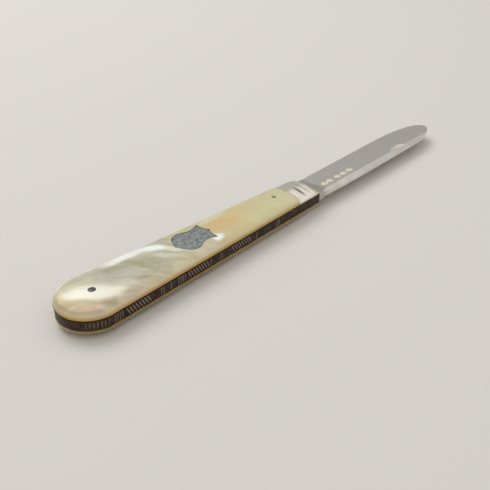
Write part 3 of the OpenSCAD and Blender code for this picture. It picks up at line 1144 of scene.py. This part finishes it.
@dataclass(frozen=True)
class Scale:
    """One mother-of-pearl scale: a slab with a rounded rim and a low crown, sawn off at the bolster."""

    side: Side
    finish: bpy.types.Material
    round_radius: float = 1.5
    # Level rings of edges inside the rounded rim, which carry the crown
    rings: tuple[float, ...] = (0.4, 0.45, 0.5, 0.55)
    round_facets: int = 10
    hold: float = 0.02
    # The blank runs on past the seam, and is sawn off there
    spare: float = 2.0
    joint_width: float = 0.12

    def build(self, seat: "Shield | None") -> bpy.types.Object:
        """Builds the scale.

        Args:
            seat: The shield whose seat is cut in it, or None.

        Returns:
            The piece.
        """
        low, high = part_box(f"{Side.MARK.value}_scale")
        z0, z1 = low.z / MM, high.z / MM
        stock = Stock()
        blank = PLAN.face(stock, z0, beyond=self.spare, round_corner=False)
        top = stock.raise_face(blank, z1 - z0 - self.round_radius)
        stock.step_in(top, quarter_round(self.round_radius, self.round_facets, self.hold))
        stock.step_in(top, [(ring, 0.0) for ring in self.rings])
        stock.saw(PLAN.seam_x, keep_front=False)
        stock.drill(PINS.butt, PINS.butt_radius + PINS.fit, z0 - OVERCUT, z1 + OVERCUT)
        stock.drill(PINS.front, PINS.front_radius + PINS.fit, z0 - OVERCUT, z1 + OVERCUT)
        if seat:
            stock.cut(seat.seat_cutter())
            bore = seat.rivet_radius + PINS.fit
            for place in seat.rivet_places():
                stock.drill(place, bore, z0 - OVERCUT, z1 - seat.sink, seat.rivet_chords)
        SCALE_CROWN.lower(stock, z0, z1)
        stock.score([PLAN.seam_x - self.joint_width])
        layer = stock.mesh.verts.layers.float.new("hollow")
        for vert in stock.mesh.verts:
            vert[layer] = float(vert.co.x > PLAN.seam_x - self.joint_width / 2)
        if self.side is Side.PILE:
            stock.turn_over()
        node = f"{self.side.value}_scale"
        return stock.place(f"{node}_pearl", Body.HANDLE, node, Slot.PEARL, self.finish)


@dataclass(frozen=True)
class Liner:
    """One brass liner, whose edge shows as a fine line between the scale and the spring."""

    side: Side
    finish: bpy.types.Material
    proud: float = 0.06
    soften: float = 0.04
    round_facets: int = 3
    hold: float = 0.02

    def build(self, rivets: Sequence[Point], rivet_radius: float) -> bpy.types.Object:
        """Builds the liner.

        Args:
            rivets: Places of the shield's rivets through it.
            rivet_radius: The rivets' radius.

        Returns:
            The piece.
        """
        low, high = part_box(f"{Side.MARK.value}_liner")
        z0, z1 = low.z / MM, high.z / MM
        stock = Stock()
        top = stock.raise_face(PLAN.face(stock, z0, self.proud), z1 - z0 - self.soften)
        stock.step_in(top, quarter_round(self.soften, self.round_facets, self.hold))
        bores = [
            (PINS.butt, PINS.butt_radius),
            (PINS.pivot, PINS.pivot_radius),
            (PINS.centre, PINS.centre_radius),
            (PINS.front, PINS.front_radius),
            *[(place, rivet_radius) for place in rivets],
        ]
        for centre, radius in bores:
            stock.drill(centre, radius + PINS.fit, z0 - OVERCUT, z1 + OVERCUT)
        if self.side is Side.PILE:
            stock.turn_over()
        node = f"{self.side.value}_liner"
        return stock.place(f"{node}_brass", Body.HANDLE, node, Slot.BRASS, self.finish)


@dataclass(frozen=True)
class Groove:
    """One groove filed across a bolster, which runs out where the bolster falls away."""

    at: float
    half_width: float
    depth: float
    near_y: float
    far_y: float
    grime: float
    run_out: float = 1.6
    # The far end keeps this share of the depth and of the grime
    far_share: float = 0.2

    def share_at(self, x: float, y: float) -> float:
        """Returns the share of the full depth that is cut at a place, with rounded lips and floor."""
        off = abs(x - self.at) / self.half_width
        if off >= 1:
            return 0.0
        near = min(1.0, max(0.0, (y - self.near_y) / self.run_out))
        far = min(1.0, max(self.far_share, (self.far_y - y) / self.run_out))
        return near * far * (0.5 + 0.5 * math.cos(math.pi * off))


@dataclass(frozen=True)
class Grooves:
    """The three grooves filed across each bolster: a deep one between two fine ones."""

    items: tuple[Groove, ...] = (
        Groove(at=-2.5, half_width=0.5, depth=0.055, near_y=-6.4, far_y=-0.9, grime=0.0),
        Groove(at=-0.2, half_width=0.65, depth=0.1, near_y=-4.6, far_y=0.6, grime=1.0),
        Groove(at=1.7, half_width=0.5, depth=0.04, near_y=-4.6, far_y=2.0, grime=0.35),
    )
    # Rings of edges across each groove
    rings: int = 12

    def places(self) -> list[float]:
        """Returns where rings of edges are needed to carry the grooves' shape."""
        steps = range(-self.rings // 2, self.rings // 2 + 1)
        return [cut.at + 2 * cut.half_width * i / self.rings for cut in self.items for i in steps]

    def file(self, stock: Stock, low_z: float, high_z: float) -> None:
        """Files the grooves in a solid's ends, and marks them as hollows that hold tarnish.

        Args:
            stock: The solid.
            low_z: Height below which the pile side's grooves lie.
            high_z: Height above which the mark side's grooves lie.
        """
        stock.score(self.places())
        layer = stock.mesh.verts.layers.float.new("hollow")
        for vert in stock.mesh.verts:
            if low_z < vert.co.z < high_z:
                continue
            shares = [(cut, cut.share_at(vert.co.x, vert.co.y)) for cut in self.items]
            depth = sum(cut.depth * share for cut, share in shares)
            vert.co.z -= math.copysign(depth, vert.co.z - MIDDLE_Z)
            vert[layer] = max(cut.grime * share for cut, share in shares)


@dataclass(frozen=True)
class Bolster:
    """One silver bolster, rounded on three sides and filed across with its grooves."""

    side: Side
    finish: bpy.types.Material
    grooves: Grooves
    round_radius: float = 1.35
    round_facets: int = 9
    hold: float = 0.04
    ring_pitch: float = 0.6
    bore_chords: int = 96
    # Grooves reach this far down from the middle of the face
    groove_reach: float = 1.0

    def build(self) -> bpy.types.Object:
        """Builds the bolster and returns it."""
        low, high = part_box(f"{Side.MARK.value}_bolster")
        z0, z1 = low.z / MM, high.z / MM
        stock = Stock()
        top = stock.raise_face(PLAN.face(stock, z0), z1 - z0 - self.round_radius)
        stock.step_in(top, quarter_round(self.round_radius, self.round_facets, self.hold))
        stock.saw(PLAN.seam_x, keep_front=True)
        rings = int((PLAN.slot_y(0) - PLAN.back_y(0)) / self.ring_pitch)
        stock.score([PLAN.back_y(0) + self.ring_pitch * i for i in range(2, rings)], ACROSS)
        bore = PINS.pivot_radius + PINS.fit / 2
        stock.drill(PINS.pivot, bore, z0 - OVERCUT, z1 + OVERCUT, self.bore_chords)
        self.grooves.file(stock, z0 - OVERCUT, z1 - self.groove_reach)
        BOLSTER_CROWN.lower(stock, z0, z1)
        if self.side is Side.PILE:
            stock.turn_over()
        node = f"{self.side.value}_bolster"
        return stock.place(f"{node}_silver", Body.HANDLE, node, Slot.SILVER, self.finish)


@dataclass(frozen=True)
class Shield:
    """The nickel silver shield, let into the mark side scale and held by two rivets."""

    finish: bpy.types.Material
    length: float = 10.3
    half: float = 3.75
    thick: float = 0.5
    sink: float = 0.06
    back: float = -39.1
    centre_y: float = 0.5
    fit: float = 0.04
    soften: float = 0.13
    round_facets: int = 3
    hold: float = 0.05
    rivet_radius: float = 0.4
    rivet_chords: int = 32
    # Rings of edges across the plate, from its middle line, which carry the crown
    rings: tuple[float, ...] = (-3.1, -2.4, -1.6, 1.6, 2.4, 3.1)
    rivet_share: tuple[float, ...] = (0.26, 0.74)
    # One side from the point to the peak: the pulls and the end of each curve, as shares of the
    # length and of the half width
    side: tuple[tuple[Point, Point, Point], ...] = (
        ((0.05, 0.28), (0.1, 0.98), (0.33, 1.0)),
        ((0.48, 1.0), (0.52, 0.74), (0.66, 0.74)),
        ((0.78, 0.74), (0.83, 0.82), (0.89, 0.9)),
        ((0.92, 0.94), (0.94, 0.92), (0.925, 0.82)),
        ((0.9, 0.6), (0.92, 0.25), (1.0, 0.0)),
    )
    curve_chords: int = 10

    def rivet_places(self) -> list[Point]:
        """Returns the rivets' centres."""
        return [(self.back + self.length * share, self.centre_y) for share in self.rivet_share]

    def face(self, stock: Stock, z: float, grow: float = 0.0) -> BMFace:
        """Draws the shield from its point along one side to its peak, and back along the other.

        Args:
            stock: The solid that gets the face.
            z: The face's height.
            grow: How far its edge stands out past the plan.

        Returns:
            The face.
        """
        length, half = self.length + 2 * grow, self.half + grow
        x0 = self.back - grow

        def spot(share: Point, way: int) -> Point:
            """Turns a share of the length and half width to a place on one side."""
            return (x0 + share[0] * length, self.centre_y + way * share[1] * half)

        line = stock.outline(z).to(*spot((0.0, 0.0), 1))
        for pulls in self.side:
            line.curve([spot(share, -1) for share in pulls], self.curve_chords)
        knots = [(0.0, 0.0), *[pulls[2] for pulls in self.side]]
        for start, pulls in list(zip(knots, self.side))[::-1]:
            line.curve([spot(share, 1) for share in (pulls[1], pulls[0], start)], self.curve_chords)
        stock.mesh.verts.remove(line.corners.pop())
        return line.fill()

    def seat_cutter(self) -> Stock:
        """Returns the space of the seat, from its floor to above the scale."""
        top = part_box("shield")[1].z / MM
        tool = Stock()
        tool.raise_face(self.face(tool, top - self.thick, self.fit), 2 * self.thick)
        return tool

    def build(self) -> bpy.types.Object:
        """Builds the shield and returns it."""
        low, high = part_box("shield")
        z0, z1 = low.z / MM, high.z / MM
        stock = Stock()
        top = stock.raise_face(self.face(stock, z0), z1 - z0 - self.soften)
        layer = stock.mesh.verts.layers.float.new("hollow")
        for vert in stock.mesh.verts:
            vert[layer] = 1.0
        stock.step_in(top, quarter_round(self.soften, self.round_facets, self.hold))
        for vert in top.verts:
            vert[layer] = 0.0
        stock.score([self.centre_y + ring for ring in self.rings], ACROSS)
        SCALE_CROWN.lower(stock, *[corner.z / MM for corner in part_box(f"{Side.MARK.value}_scale")])
        return stock.place("shield_nickel_silver", Body.HANDLE, "shield", Slot.WORN_SILVER, self.finish)


@dataclass(frozen=True)
class Pin:
    """A riveted pin, turned round its own axis, flat or with a low crown on the mark side."""

    node: str
    centre: Point
    radius: float
    finish: bpy.types.Material
    slot: Slot = Slot.PIN
    crown: float = 0.0
    soften: float = 0.05
    chords: int = 64
    # Rings on the mark side's end, as shares of the radius
    rings: tuple[float, ...] = (0.8, 0.6, 0.4, 0.2, 0.0)
    # Grooves that run across its ends reach this far down
    end_depth: float = 0.6

    def build(self, grooves: Grooves | None = None) -> bpy.types.Object:
        """Builds the pin.

        Args:
            grooves: The grooves that run on across its ends, or None.

        Returns:
            The piece.
        """
        low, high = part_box(self.node)
        z0, z1 = low.z / MM, high.z / MM
        shoulder = z1 - self.crown
        outline = [(0.0, z0), (self.radius / 2, z0), (self.radius - self.soften, z0)]
        outline += [(self.radius, z0 + self.soften), (self.radius, shoulder - self.soften)]
        for share in (1 - self.soften / self.radius, *self.rings):
            outline.append((self.radius * share, shoulder + self.crown * (1 - share * share)))
        stock = Stock()
        profile = [stock.mesh.verts.new((self.centre[0] + r, self.centre[1], z)) for r, z in outline]
        edges = [stock.mesh.edges.new(pair) for pair in zip(profile, profile[1:])]
        bmesh.ops.spin(
            stock.mesh,
            geom=[*profile, *edges],
            cent=(*self.centre, 0),
            axis=(0, 0, 1),
            angle=2 * math.pi,
            steps=self.chords,
            use_merge=True,
        )
        bmesh.ops.remove_doubles(stock.mesh, verts=stock.mesh.verts[:], dist=WELD)
        bmesh.ops.recalc_face_normals(stock.mesh, faces=stock.mesh.faces[:])
        if grooves:
            grooves.file(stock, z0 + self.end_depth, z1 - self.end_depth)
            for _ in Side:
                BOLSTER_CROWN.lower(stock, z1 - 2 * self.end_depth, z1)
                stock.turn_over()
        return stock.place(f"{self.node}_turned", Body.HANDLE, self.node, self.slot, self.finish)


@dataclass(frozen=True)
class Blade:
    """The silver blade: tang with two flats, ground faces, a bevelled back, nick and punch marks."""

    finish: bpy.types.Material
    reach: float = 60.8
    edge_out: float = 4.0
    back_out: float = 5.6
    thick: float = 2.0
    # Where the back lies at the shoulder, and the pulls and the end of its swell: places along the
    # blade, and how far inside its straight line they lie
    shoulder_in: float = 0.65
    swell: tuple[Point, Point, Point] = ((11.0, 0.2), (18.0, -0.05), (26.0, -0.05))
    # The tip's place across, and how far before it the back and the edge leave their straight lines
    tip_y: float = -0.8
    back_run_out: float = 13.2
    edge_run_out: float = 18.2
    # The tip's two curves are pulled this far before the tip, at the back and at the edge
    back_pull: float = 5.2
    edge_pull: float = 9.7
    # The back's pull lies this far inside its line
    back_pull_in: float = 0.1
    # Both curves are pulled square to the tip, this far across from it
    tip_pull_back: float = 2.4
    tip_pull_edge: float = 3.4
    # Two corners of the heel, along from the kick and in from the edge's line
    heel: tuple[Point, Point] = ((8.2, 0.25), (2.2, 0.35))
    # Both ends of the choil's floor, along from the kick
    choil: Point = (1.0, 0.25)
    curve_chords: int = 40
    swell_chords: int = 24
    nose_depth: float = 1.97
    seat_gap: float = 0.02
    cam_lift: float = 0.4
    closing_turn: float = 174.0
    shoulder_x: float = 4.15
    kick_x: float = 5.0
    choil_depth: float = 0.45
    grind_slope: float = 3.4
    distal_slope: float = 0.3
    grind_start: float = 8.4
    # The ground faces begin this far inside each side of the tang
    grind_in: float = 0.04
    wheel_radius: float = 9.0
    wheel_overhang: float = 2.0
    swage_width: float = 1.5
    swage_slope: float = 15.0
    swage_start: float = 5.0
    swage_turn: float = 55.0
    nick_at: float = 41.6
    nick_in: float = 2.0
    nick_width: float = 1.5
    nick_depth: float = 0.32
    nick_radius: float = 22.0
    # How steeply the nick's upper wall leans, and how strongly the nick gets the pale colour of dried
    # polish, which also paints its highlight
    nick_lean: float = 0.8
    nick_polish_and_highlight: float = 0.5
    nick_chords: int = 480
    punch_at: tuple[float, ...] = (10.1, 12.3, 15.7, 18.2, 20.9)
    punch_in: float = 3.4
    punch_length: float = 2.1
    punch_width: float = 1.9
    punch_depth: float = 0.12
    punch_height: float = 1.0
    # Width of the ring at full depth round each punched dome, and the insets that shape the dome
    punch_ring: float = 0.2
    punch_dome: tuple[Point, ...] = ((0.08, -0.05), (0.12, -0.03), (0.12, -0.01))
    pivot_fit: float = 0.03
    # The rounding of the cutting edge's corners, and how far behind the middle line they begin
    edge_soften: float = 0.16
    edge_from_y: float = -0.5
    # A face this far below the ground face, at the least and at the most, is in a nick or a mark
    hollow_depths: Point = (0.004, 0.5)
    crease: float = 6.0

    @property
    def flat(self) -> float:
        """Distance of both of the tang's flats from the pivot's axis."""
        return -PLAN.back_y(0) - self.nose_depth - self.seat_gap

    @property
    def cam(self) -> float:
        """Radius of the tang's round part."""
        return self.flat + self.seat_gap + self.cam_lift

    @property
    def ground_half(self) -> float:
        """Half the thickness where the ground faces begin."""
        return self.thick / 2 - self.grind_in

    def closed_flat_y(self, x: float) -> float:
        """Returns where the flat lies that bears on the spring when the blade is closed."""
        way = math.radians(270 - self.closing_turn)
        return (self.flat - x * math.cos(way)) / math.sin(way)

    def ground_z(self, x: float, y: float) -> float:
        """Returns the height of the upper ground face over the blade's middle."""
        along = (x - self.grind_start) * math.tan(math.radians(self.distal_slope))
        across = (y + self.back_out) * math.tan(math.radians(self.grind_slope))
        return self.ground_half - along - across

    def face(self, stock: Stock, z: float) -> BMFace:
        """Draws the blade's outline at a height, from the open flat round by the tip."""
        back, edge, reach = -self.back_out, self.edge_out, self.reach
        line = stock.outline(z).to(self.shoulder_x, -self.flat)
        line.to(self.shoulder_x, back + self.shoulder_in)
        line.curve([(x, back + inside) for x, inside in self.swell], self.swell_chords)
        line.to(reach - self.back_run_out, back)
        pull = (reach - self.back_pull, back + self.back_pull_in)
        tip_pull = (reach, self.tip_y - self.tip_pull_back)
        line.curve([pull, tip_pull, (reach, self.tip_y)], self.curve_chords)
        tip_pull = (reach, self.tip_y + self.tip_pull_edge)
        pull = (reach - self.edge_pull, edge)
        line.curve([tip_pull, pull, (reach - self.edge_run_out, edge)], self.curve_chords)
        for x, inside in self.heel:
            line.to(self.kick_x + x, edge - inside)
        kick_y = self.closed_flat_y(self.kick_x)
        for x in self.choil:
            line.to(self.kick_x + x, kick_y - self.choil_depth)
        line.to(self.kick_x, kick_y)
        half_turn = math.degrees(math.acos(self.flat / self.cam))
        start = 270 - self.closing_turn + half_turn
        line.arc(PINS.pivot, self.cam, start, 270 - half_turn - start, self.curve_chords)
        return line.fill()

    def tilted(self, slope: float) -> Matrix:
        """Returns the tilt of a ground face: down to the tip, and across by a slope in degrees."""
        down = Matrix.Rotation(math.radians(self.distal_slope), 4, "Y")
        return down @ Matrix.Rotation(math.radians(slope), 4, "X")

    def grinding_wheel(self) -> Stock:
        """Returns the space that the wheel takes off the upper face, with its curved shoulder."""
        tool = Stock()
        wheel, high = self.wheel_radius, self.thick
        rise = math.degrees(math.acos(1 - high / wheel))
        line = tool.outline().arc((0.0, wheel), wheel, 270 - rise, rise, self.curve_chords)
        line.to(self.reach, 0).to(self.reach, high)
        deep = 3 * self.back_out
        tool.raise_face(line.fill(), deep)
        upright = Matrix.Rotation(math.pi / 2, 4, "X")
        shift = Matrix.Translation((0, deep - self.wheel_overhang, 0))
        place = Matrix.Translation((self.grind_start, -self.back_out, self.ground_half))
        return tool.move(place @ self.tilted(-self.grind_slope) @ shift @ upright)

    def swage_stone(self) -> Stock:
        """Returns the space above the bevel along the blade's back."""
        tool = Stock()
        wide = 2 * self.back_out
        start = wide * math.tan(math.radians(self.swage_turn))
        line = tool.outline().to(0, 0).to(start, -wide).to(self.reach, -wide).to(self.reach, 0)
        tool.raise_face(line.fill(), self.thick)
        y = self.swage_width - self.back_out
        place = Matrix.Translation((self.swage_start, y, self.ground_z(self.swage_start, y)))
        return tool.move(place @ self.tilted(self.swage_slope))

    def nick_cutter(self) -> Stock:
        """Returns the thin cutter that leaves the nail nick."""
        tool = Stock()
        y = self.nick_in - self.back_out
        floor = self.ground_z(self.nick_at, y) - self.nick_depth
        upright = Matrix.Translation((0, 0, self.nick_radius)) @ Matrix.Rotation(-math.pi / 2, 4, "X")
        lean = Matrix.Rotation(math.radians(-self.grind_slope), 4, "X")
        bmesh.ops.create_cone(
            tool.mesh,
            cap_ends=True,
            segments=self.nick_chords,
            radius1=self.nick_radius,
            radius2=self.nick_radius - self.nick_depth * self.nick_lean,
            depth=self.nick_width,
            matrix=Matrix.Translation((self.nick_at, y, floor)) @ lean @ upright,
        )
        return tool

    def punch(self, x: float) -> Stock:
        """Returns one oval punch, hollow in its middle so that it leaves a low dome."""
        tool = Stock()
        y = self.punch_in - self.back_out
        radius, squeeze = self.punch_length / 2, self.punch_width / self.punch_length
        bmesh.ops.create_circle(tool.mesh, cap_ends=True, segments=self.curve_chords, radius=radius)
        bmesh.ops.scale(tool.mesh, vec=(1.0, squeeze, 1.0), verts=tool.mesh.verts[:])
        foot = tool.mesh.faces[:][0]
        if foot.normal.z > 0:
            foot.normal_flip()
        top = bmesh.ops.extrude_face_region(tool.mesh, geom=[foot], use_keep_orig=True)["geom"]
        rim = [part for part in top if isinstance(part, BMVert)]
        bmesh.ops.translate(tool.mesh, verts=rim, vec=(0, 0, self.punch_height))
        bmesh.ops.recalc_face_normals(tool.mesh, faces=tool.mesh.faces[:])
        tool.step_in(foot, [(self.punch_ring, 0.0), *self.punch_dome])
        lean = Matrix.Rotation(math.radians(-self.grind_slope), 4, "X")
        return tool.move(Matrix.Translation((x, y, self.ground_z(x, y) - self.punch_depth)) @ lean)

    def soften_edge(self, stock: Stock) -> None:
        """Rounds both corners of the cutting edge, from the choil to the tip."""
        sharp = []
        for edge in stock.mesh.edges:
            middle = (edge.verts[0].co + edge.verts[1].co) / 2
            if middle.x < self.grind_start or middle.y < self.edge_from_y or len(edge.link_faces) != 2:
                continue
            # Between one upright wall and one ground face that turns well away from it
            walls = [face for face in edge.link_faces if abs(face.normal.z) < 0.1]
            if len(walls) == 1 and edge.calc_face_angle(0) > 1.0:
                sharp.append(edge)
        bmesh.ops.bevel(
            stock.mesh,
            geom=sharp,
            offset=self.edge_soften,
            offset_type="OFFSET",
            affect="EDGES",
            segments=3,
            profile=0.5,
            material=-1,
            clamp_overlap=True,
        )

    def mark_hollows(self, stock: Stock) -> None:
        """Marks the faces in the nick and on the punched domes, which are painted pale: dried polish, and
        a painted highlight.
        """
        layer = stock.mesh.faces.layers.float.new("hollow")
        nick_y, punch_y = self.nick_in - self.back_out, self.punch_in - self.back_out
        dome = self.punch_length / 2 - self.punch_ring
        # Half the nick's width across, and half its length along with room to spare
        nick_wide, nick_long = self.nick_width / 2, self.nick_radius / 4
        for face in stock.mesh.faces:
            middle = face.calc_center_median()
            below = self.ground_z(middle.x, middle.y) - middle.z
            if middle.x < self.grind_start or not self.hollow_depths[0] < below < self.hollow_depths[1]:
                continue
            if any(math.hypot(middle.x - x, middle.y - punch_y) < dome for x in self.punch_at):
                face[layer] = 1.0
            elif abs(middle.y - nick_y) < nick_wide and abs(middle.x - self.nick_at) < nick_long:
                face[layer] = self.nick_polish_and_highlight

    def build(self) -> bpy.types.Object:
        """Builds the blade and returns it."""
        stock = Stock()
        stock.raise_face(self.face(stock, -self.thick / 2), self.thick)
        for tool in (self.grinding_wheel, self.swage_stone):
            stock.cut(tool())
            stock.cut(tool().move(TOP_TO_BOTTOM))
        stock.cut(self.nick_cutter())
        for x in self.punch_at:
            stock.cut(self.punch(x))
        stock.drill(PINS.pivot, PINS.pivot_radius + self.pivot_fit, -self.thick, self.thick)
        bmesh.ops.dissolve_limit(
            stock.mesh,
            angle_limit=math.radians(0.05),
            verts=stock.mesh.verts[:],
            edges=stock.mesh.edges[:],
        )
        stock.mesh.normal_update()
        self.soften_edge(stock)
        self.mark_hollows(stock)
        stock.move(Matrix.Translation((0, 0, MIDDLE_Z)))
        return stock.place("blade_silver", Body.BLADE, "blade", Slot.SILVER, self.finish, self.crease)


@dataclass(frozen=True)
class Backspring:
    """The spring, whose cuts in the CAD model are kept in a merged copy with smooth curves."""

    finish: bpy.types.Material
    # The floors of the cuts lie this far inside the back edge, at the least and at the most
    cut_from: float = 0.06
    cut_to: float = 0.21
    weld: float = 1e-3

    def build(self) -> bpy.types.Object:
        """Builds the spring and returns it."""
        stock = Stock()
        stock.mesh.from_mesh(frame["nodes"]["backspring"].data)
        stock.move(Matrix.Translation((-HINGE.x, -HINGE.y, 0)) @ Matrix.Scale(PER_MM, 4))
        bmesh.ops.remove_doubles(stock.mesh, verts=stock.mesh.verts[:], dist=self.weld)
        self.mark_cuts(stock)
        return stock.place("backspring_steel", Body.HANDLE, "backspring", Slot.SPRING, self.finish)

    def mark_cuts(self, stock: Stock) -> None:
        """Marks the floors of the cuts as hollows, which are painted pale: dust and wear, and painted
        highlight.
        """
        layer = stock.mesh.verts.layers.float.new("hollow")
        for vert in stock.mesh.verts:
            below = vert.co.y - PLAN.back_y(vert.co.x)
            if vert.co.x < PLAN.butt_x:
                below = min(below, PLAN.from_butt(vert.co.x, vert.co.y))
            if self.cut_from < below < self.cut_to:
                vert[layer] = 1.0


@dataclass(frozen=True)
class Studio:
    """A pale floor, soft light from above and behind, and the camera at the photograph's angle."""

    floor_colour: str = "#dedbd6"
    floor_half: float = 3.0
    floor_gap_mm: float = 0.02
    # The room's light from straight down to straight up
    room: Ramp = (
        (0.0, "#b4b2af"),
        (0.36, "#a3a19f"),
        (0.5, "#b9b7b5"),
        (0.62, "#dddbd8"),
        (0.72, "#f4f2ef"),
        (1.0, "#fdfcfa"),
    )
    room_strength: float = 0.885
    # The soft box's place and side in metres, and its power in watts
    box_at: tuple[float, float, float] = (0.05, 0.42, 0.62)
    box_side: float = 0.5
    box_watts: float = 2.0
    # The camera's place in millimetres, its angles in degrees, and its lens
    camera_at: tuple[float, float, float] = (-84.806, -97.844, 89.772)
    pitch: float = 33.155
    yaw: float = 43.309
    lens: float = 51.43
    sensor: float = 36.0

    def build(self) -> None:
        """Sets up the floor, the lights and the camera."""
        self.floor()
        self.world()
        self.soft_box()
        self.camera()
        bpy.context.scene.view_settings.view_transform = "Standard"

    def floor(self) -> None:
        """Lays the plain pale floor just under the knife."""
        stock = Stock()
        bmesh.ops.create_grid(stock.mesh, x_segments=1, y_segments=1, size=self.floor_half)
        floor = stock.move(Matrix.Translation((0, 0, -self.floor_gap_mm * MM))).as_object("floor")
        finish = bpy.data.materials.new("floor_matt_card")
        tree = bare_tree(finish)
        surface = add(
            tree,
            "ShaderNodeBsdfPrincipled",
            {"Base Color": linear(self.floor_colour), "Roughness": 0.9},
        )
        add(tree, "ShaderNodeOutputMaterial", {}, {"Surface": surface.outputs["BSDF"]})
        floor.data.materials.append(finish)

    def world(self) -> None:
        """Surrounds the knife with a pale room that is brighter overhead."""
        world = bpy.data.worlds.new("pale_room")
        tree = bare_tree(world)
        way = add(tree, "ShaderNodeTexCoord")
        up = add(tree, "ShaderNodeSeparateXYZ", {}, {"Vector": way.outputs["Generated"]})
        shade = add(
            tree, "ShaderNodeValToRGB", {"stops": ramp_stops(self.room)}, {"Fac": up.outputs["Z"]}
        )
        light = add(
            tree,
            "ShaderNodeBackground",
            {"Strength": self.room_strength},
            {"Color": shade.outputs["Color"]},
        )
        add(tree, "ShaderNodeOutputWorld", {}, {"Surface": light.outputs["Background"]})
        bpy.context.scene.world = world

    def soft_box(self) -> None:
        """Hangs a square soft box behind and above the knife, facing it."""
        data = bpy.data.lights.new("soft_box_behind", "AREA")
        data.size = self.box_side
        data.energy = self.box_watts
        lamp = bpy.data.objects.new("soft_box_behind", data)
        lamp.location = self.box_at
        lamp.rotation_euler = (-Vector(self.box_at)).to_track_quat("-Z", "Y").to_euler()
        bpy.context.scene.collection.objects.link(lamp)

    def camera(self) -> None:
        """Sets the camera where the photograph was taken from."""
        data = bpy.data.cameras.new("camera")
        data.lens = self.lens
        data.sensor_width = self.sensor
        data.clip_start = 0.005
        data.clip_end = 20.0
        camera = bpy.data.objects.new("camera", data)
        camera.location = Vector(self.camera_at) * MM
        camera.rotation_euler = (math.radians(90 - self.pitch), 0, math.radians(self.yaw - 90))
        bpy.context.scene.collection.objects.link(camera)
        bpy.context.scene.camera = camera


class Knife:
    """The whole knife, assembled from its two sides, its spring and its blade."""

    def __init__(self) -> None:
        """Mixes each finish once."""
        self.silver = BOLSTER_SILVER.material()
        self.brass = {Side.MARK: SHADED_BRASS.material(), Side.PILE: RUBBED_BRASS.material()}
        self.pin_steel = PIN_STEEL.material()
        self.front_wire = FRONT_PIN_WIRE.material()
        self.shield = Shield(SHIELD_SILVER.material())
        self.shells = {Side.MARK: MARK_SHELL.material(), Side.PILE: PILE_SHELL.material()}
        self.grooves = Grooves()

    def build(self) -> list[bpy.types.Object]:
        """Builds every piece, and returns them."""
        pieces = []
        for side in Side:
            mark = side is Side.MARK
            pieces.append(Scale(side, self.shells[side]).build(self.shield if mark else None))
            rivets = self.shield.rivet_places() if mark else []
            pieces.append(Liner(side, self.brass[side]).build(rivets, self.shield.rivet_radius))
            pieces.append(Bolster(side, self.silver, self.grooves).build())
        pieces.append(self.shield.build())
        pieces.append(Backspring(SPRING_STEEL.material()).build())
        pieces.append(Blade(BLADE_SILVER.material()).build())
        return pieces + self.pins()

    def pins(self) -> list[bpy.types.Object]:
        """Builds the pins that show, and dresses the hidden ones that stay as CAD nodes."""
        steel, wire = self.pin_steel, self.front_wire
        pivot = Pin("pivot_pin", PINS.pivot, PINS.pivot_radius, self.silver, Slot.SILVER, soften=0.01)
        shown = [
            Pin("butt_pin", PINS.butt, PINS.butt_radius, steel, crown=0.12).build(),
            Pin("mark_side_front_pin", PINS.front, PINS.front_radius, wire).build(),
            Pin("pile_side_front_pin", PINS.front, PINS.front_radius, wire).build(),
            pivot.build(self.grooves),
        ]
        for node in ("centre_pin", "shield_rivets"):
            slots = frame["nodes"][node].material_slots
            for slot in slots:
                slot.material = steel
            LOG.info("%s: kept as it is, %d material slots dressed", node, len(slots))
        return shown


def main() -> None:
    """Builds the knife and the studio."""
    logging.basicConfig(level=logging.INFO, format="%(name)s %(message)s")
    pieces = Knife().build()
    Studio().build()
    LOG.info("%d pieces built", len(pieces))


if __name__ == "__main__":
    main()
